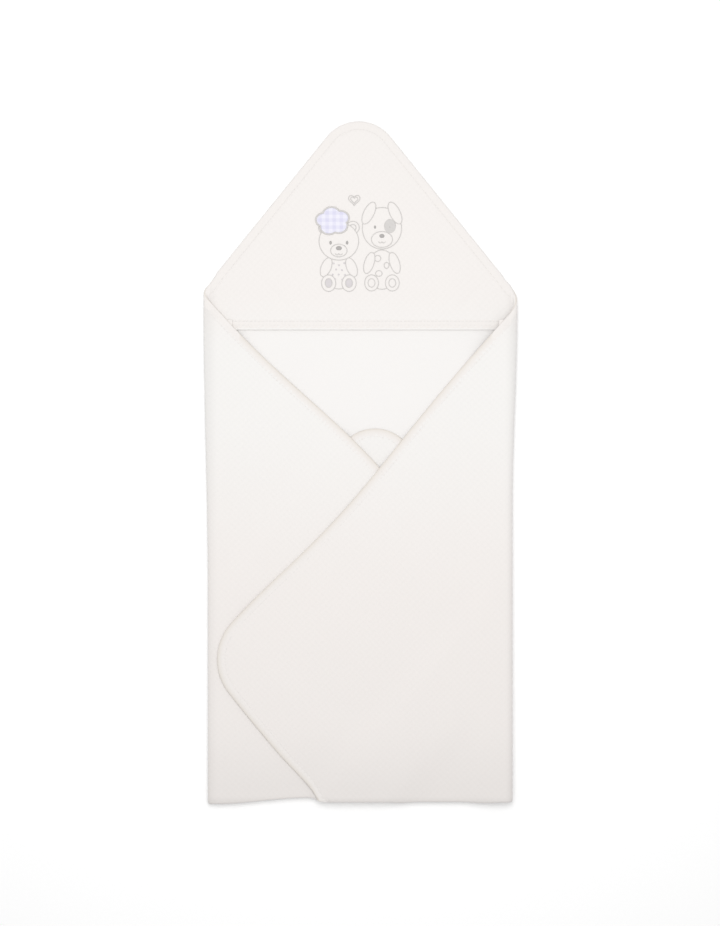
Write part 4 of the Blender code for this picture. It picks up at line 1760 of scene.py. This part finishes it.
@dataclass
class Decoration:
    """The embroidered animals, the cloud patch and the heart on the hood."""

    room: Workroom
    thread: float = 0.00042          # the stitched line's half width
    bear_head: tuple[float, float] = (-0.0010, 0.0919)    # from the node, over the mouth
    puppy_head: tuple[float, float] = (-0.0002, 0.1054)
    lobes: int = 5

    def __post_init__(self) -> None:
        """Make the embroidery threads."""
        self.threads = {
            "line": Thread("outline_thread", (0.62, 0.60, 0.585)).make(),
            "dark": Thread("eye_thread", (0.40, 0.385, 0.375)).make(),
            "grey": Thread("grey_thread", (0.60, 0.58, 0.565)).make(),
            "soft": Thread("pale_thread", (0.63, 0.60, 0.61)).make(),
        }

    def surface(self, x: Array, y: Array) -> Array:
        """Return the height of the hood's face."""
        return self.room.drape.at("hood", x, y) + CLOTH - emboss(x, y)

    def stroke(self, path: Array, radius: float, closed: bool = False) -> tuple[Array, list]:
        """Make one line of thread along a path.

        Args:
            path: the line, seen from above.
            radius: the thread's half width.
            closed: whether its end joins its start.

        Returns:
            The thread's points and faces.
        """
        path = resampled(path, 0.0009)
        if closed:
            path = path[:-1]
            way = unit(np.roll(path, -1, axis=0) - np.roll(path, 1, axis=0))
        else:
            way = unit(np.gradient(path, axis=0))
        side = np.stack([-way[:, 1], way[:, 0]], axis=1)
        level = self.surface(path[:, 0], path[:, 1])
        size = np.full(len(path), radius)
        if not closed:
            size[[0, -1]] *= 0.4
        a = np.linspace(0, 2 * math.pi, 7)[:-1]
        rings = np.empty((len(path), 6, 3))
        for k, angle in enumerate(a):
            rings[:, k, :2] = path + side * (size * math.cos(angle))[:, None]
            rings[:, k, 2] = level + size * (0.35 + math.sin(angle))
        index = np.arange(len(path) * 6).reshape(-1, 6)
        nxt = np.roll(index, -1, axis=0) if closed else index[1:]
        here = index if closed else index[:-1]
        faces = [tuple(q) for q in np.stack([here, nxt, np.roll(nxt, -1, axis=1), np.roll(
            here, -1, axis=1)], axis=2).reshape(-1, 4)]
        if not closed:
            faces += [tuple(index[0]), tuple(index[-1][::-1])]
        return rings.reshape(-1, 3), faces

    def spot(self, outline: Array, thickness: float, rings: int = 5) -> tuple[Array, list]:
        """Make a filled, gently domed shape.

        Args:
            outline: its closed outline, seen from above.
            thickness: how high it stands in the middle.
            rings: how many steps from its outline to its middle.

        Returns:
            The shape's points and faces.
        """
        centre = outline.mean(axis=0)
        count = len(outline)
        layers = []
        for k in range(rings + 1):
            share = 1.0 - k / (rings + 0.6)
            at = centre + (outline - centre) * share
            dome = thickness * (0.35 + 0.65 * (1 - share**4))
            layers.append(np.column_stack([at, self.surface(*at.T) + dome]))
        foot = np.column_stack([outline, self.surface(*outline.T) - 0.0002])
        inner = np.column_stack([at, self.surface(*at.T) - 0.0002])
        grid = np.stack([inner, foot, *layers])
        index = np.arange(grid.shape[0] * count).reshape(-1, count)
        faces = [*ring_faces(index[:-1], index[1:]), index[-1], index[0][::-1]]
        return grid.reshape(-1, 3), [tuple(face) for face in faces]

    def strokes(self, drawing: list[Oval], centre: Array, side: Side,
                cover: Array | None) -> list[tuple[Array, list]]:
        """Stitch the lines of a drawing, each hidden by the shapes in front of it.

        Args:
            drawing: its ovals, from the front to the back.
            centre: the place of the figure's head.
            side: the half of the hood that it keeps to.
            cover: the outline of a patch that hides it.

        Returns:
            The points and faces of each line.
        """
        found = []
        for i, oval in enumerate(drawing):
            if not oval.line:
                continue
            points = oval.points(centre, 160)
            seen = side.sign * points[:, 0] > 0.0006
            for front in drawing[:i]:
                if front.hides and front.end - front.start >= 360:
                    seen &= ~front.covers(centre, points)
            if cover is not None:
                seen &= ~inside(cover, points[:, 0], points[:, 1])
            if seen.all() and oval.end - oval.start >= 360:
                found.append(self.stroke(points, self.thread, closed=True))
                continue
            if oval.end - oval.start >= 360:
                first = int(np.argmin(seen))
                points, seen = np.roll(points[:-1], -first, 0), np.roll(seen[:-1], -first)
            edges = np.flatnonzero(np.diff(np.concatenate([[0], seen.astype(int), [0]])))
            for a, b in edges.reshape(-1, 2):
                if b - a > 5:
                    found.append(self.stroke(points[a:b], self.thread))
        return found

    def figure(self, name: str, drawing: list[Oval], centre: Array, side: Side, node: str,
               cover: Array | None = None) -> None:
        """Embroider one animal.

        Args:
            name: the animal.
            drawing: its ovals, from the front to the back.
            centre: the place of its head.
            side: the half of the hood that it keeps to.
            node: the CAD node that it stands for.
            cover: the outline of a patch that hides it.
        """
        pieces = {f"{name}_lines": (self.strokes(drawing, centre, side, cover), "line")}
        for fill in ("dark", "grey", "soft"):
            spots = [self.spot(oval.points(centre, 28)[:-1], 0.00045)
                     for oval in drawing if oval.fill == fill]
            if spots:
                pieces[f"{name}_{fill}_satin"] = (spots, fill)
        for label, (parts, finish) in pieces.items():
            piece = self.room.dress(joined(label, parts), Slot.THREAD, [self.threads[finish]],
                                    replaces=(node,))
            self.room.bend_in_hood(piece, side)

    def node_centre(self, node: str) -> Array:
        """Return the middle of a CAD node, seen from above."""
        low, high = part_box(node)
        return np.array([(low[0] + high[0]) / 2, (low[1] + high[1]) / 2])

    def build(self) -> None:
        """Make all the decoration."""
        room, mouth = self.room, self.room.plan.mouth
        low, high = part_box("cloud_patch")
        middle = self.node_centre("cloud_patch")
        a = np.linspace(0, 2 * math.pi, 121)[:-1]
        reach = 0.80 + 0.20 * np.abs(np.sin(a * self.lobes / 2 + 0.4)) ** 0.8
        half = (high[0] - low[0]) / 2, (high[1] - low[1]) / 2
        cloud = middle + np.stack([half[0] * reach * np.cos(a),
                                   half[1] * 1.08 * reach * np.sin(a)], axis=1)
        points, faces = self.spot(cloud, 0.0009, 9)
        patch = new_object("cloud_patch_cloth", points, faces, points[:, :2], sharp=60.0)
        border = joined("cloud_patch_border", [self.stroke(cloud, 0.00095, closed=True)])
        for piece, slot, finish in ((patch, Slot.GINGHAM, Gingham().make()),
                                    (border, Slot.THREAD, self.threads["line"])):
            room.dress(piece, slot, [finish], replaces=("cloud_patch",))
            room.bend_in_hood(piece, Side.LEFT)

        for name, drawing, head, side, cover in (
                ("bear", BEAR, self.bear_head, Side.LEFT, cloud),
                ("puppy", PUPPY, self.puppy_head, Side.RIGHT, None)):
            node = f"{name}_embroidery"
            centre = np.array([self.node_centre(node)[0] + head[0], mouth + head[1]])
            self.figure(name, drawing, centre, side, node, cover)

        low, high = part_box("heart_embroidery")
        size = (high[0] - low[0]) / 32
        a = np.linspace(0, 2 * math.pi, 97)
        line = np.stack([16 * np.sin(a) ** 3, 13 * np.cos(a) - 5 * np.cos(2 * a)
                         - 2 * np.cos(3 * a) - np.cos(4 * a)], axis=1)
        centre = self.node_centre("heart_embroidery") - ((high[0] - low[0]) / 2 + 0.001, 0)
        heart = joined("heart_line", [
            self.stroke(centre + line * size * scale, self.thread, closed=True)
            for scale in (1.0, 0.62)])
        room.dress(heart, Slot.THREAD, [self.threads["line"]], replaces=("heart_embroidery",))
        room.bend_in_hood(heart, Side.LEFT)


# ------------------------------------------------------------------ stage

@dataclass
class Studio:
    """The floor, the lights and the camera."""

    view: tuple[float, float] = (-0.001, 0.001)
    distance: float = 2.679
    lens: float = 100.0
    ambient: float = 0.745

    def build(self) -> None:
        """Set the stage."""
        scene = bpy.context.scene
        scene.view_settings.view_transform = "Standard"
        bpy.ops.object.select_all(action="DESELECT")
        bpy.ops.mesh.primitive_plane_add(size=8.0, location=(0, 0, -0.0004))
        floor = bpy.context.object
        floor.name = "floor"
        nodes = Nodes("paper")
        grain = nodes.speckle(nodes.places(on_cloth=False), 300.0)
        colour = nodes.blend_colours(grain, (0.965, 0.965, 0.965), (0.985, 0.985, 0.985))
        floor.data.materials.append(nodes.surface(colour, grain, 0.00002, 0.9, 0.0))
        world = bpy.data.worlds.new("studio")
        scene.world = world
        world.use_nodes = True
        world.node_tree.nodes["Background"].inputs["Color"].default_value = (1, 1, 1, 1)
        world.node_tree.nodes["Background"].inputs["Strength"].default_value = self.ambient
        for name, place, aim, size, power in (
                ("key", (0.0, 0.22, 1.15), (0, 0.22, 0), 0.9, 6.9),
                ("side", (-1.2, 0.5, 1.3), (0, 0.1, 0), 1.2, 0.8)):
            bpy.ops.object.light_add(type="AREA", location=place)
            light = bpy.context.object
            light.name = name
            light.data.size = size
            light.data.energy = power
            way = Vector(aim) - Vector(place)
            light.rotation_euler = way.to_track_quat("-Z", "Y").to_euler()
        bpy.ops.object.camera_add(location=(*self.view, self.distance))
        camera = bpy.context.object
        camera.data.lens = self.lens
        camera.data.sensor_width = 36.0
        scene.camera = camera


def main() -> None:
    """Build the towel and its stage."""
    logging.basicConfig(level=logging.INFO, format="%(name)s: %(message)s")
    room = Workroom()
    Back(room).build()
    for side in Side:
        SideFold(room, side).build()
        Flap(room, side).build()
    Hood(room).build()
    Decoration(room).build()
    Studio().build()


if __name__ == "__main__":
    main()
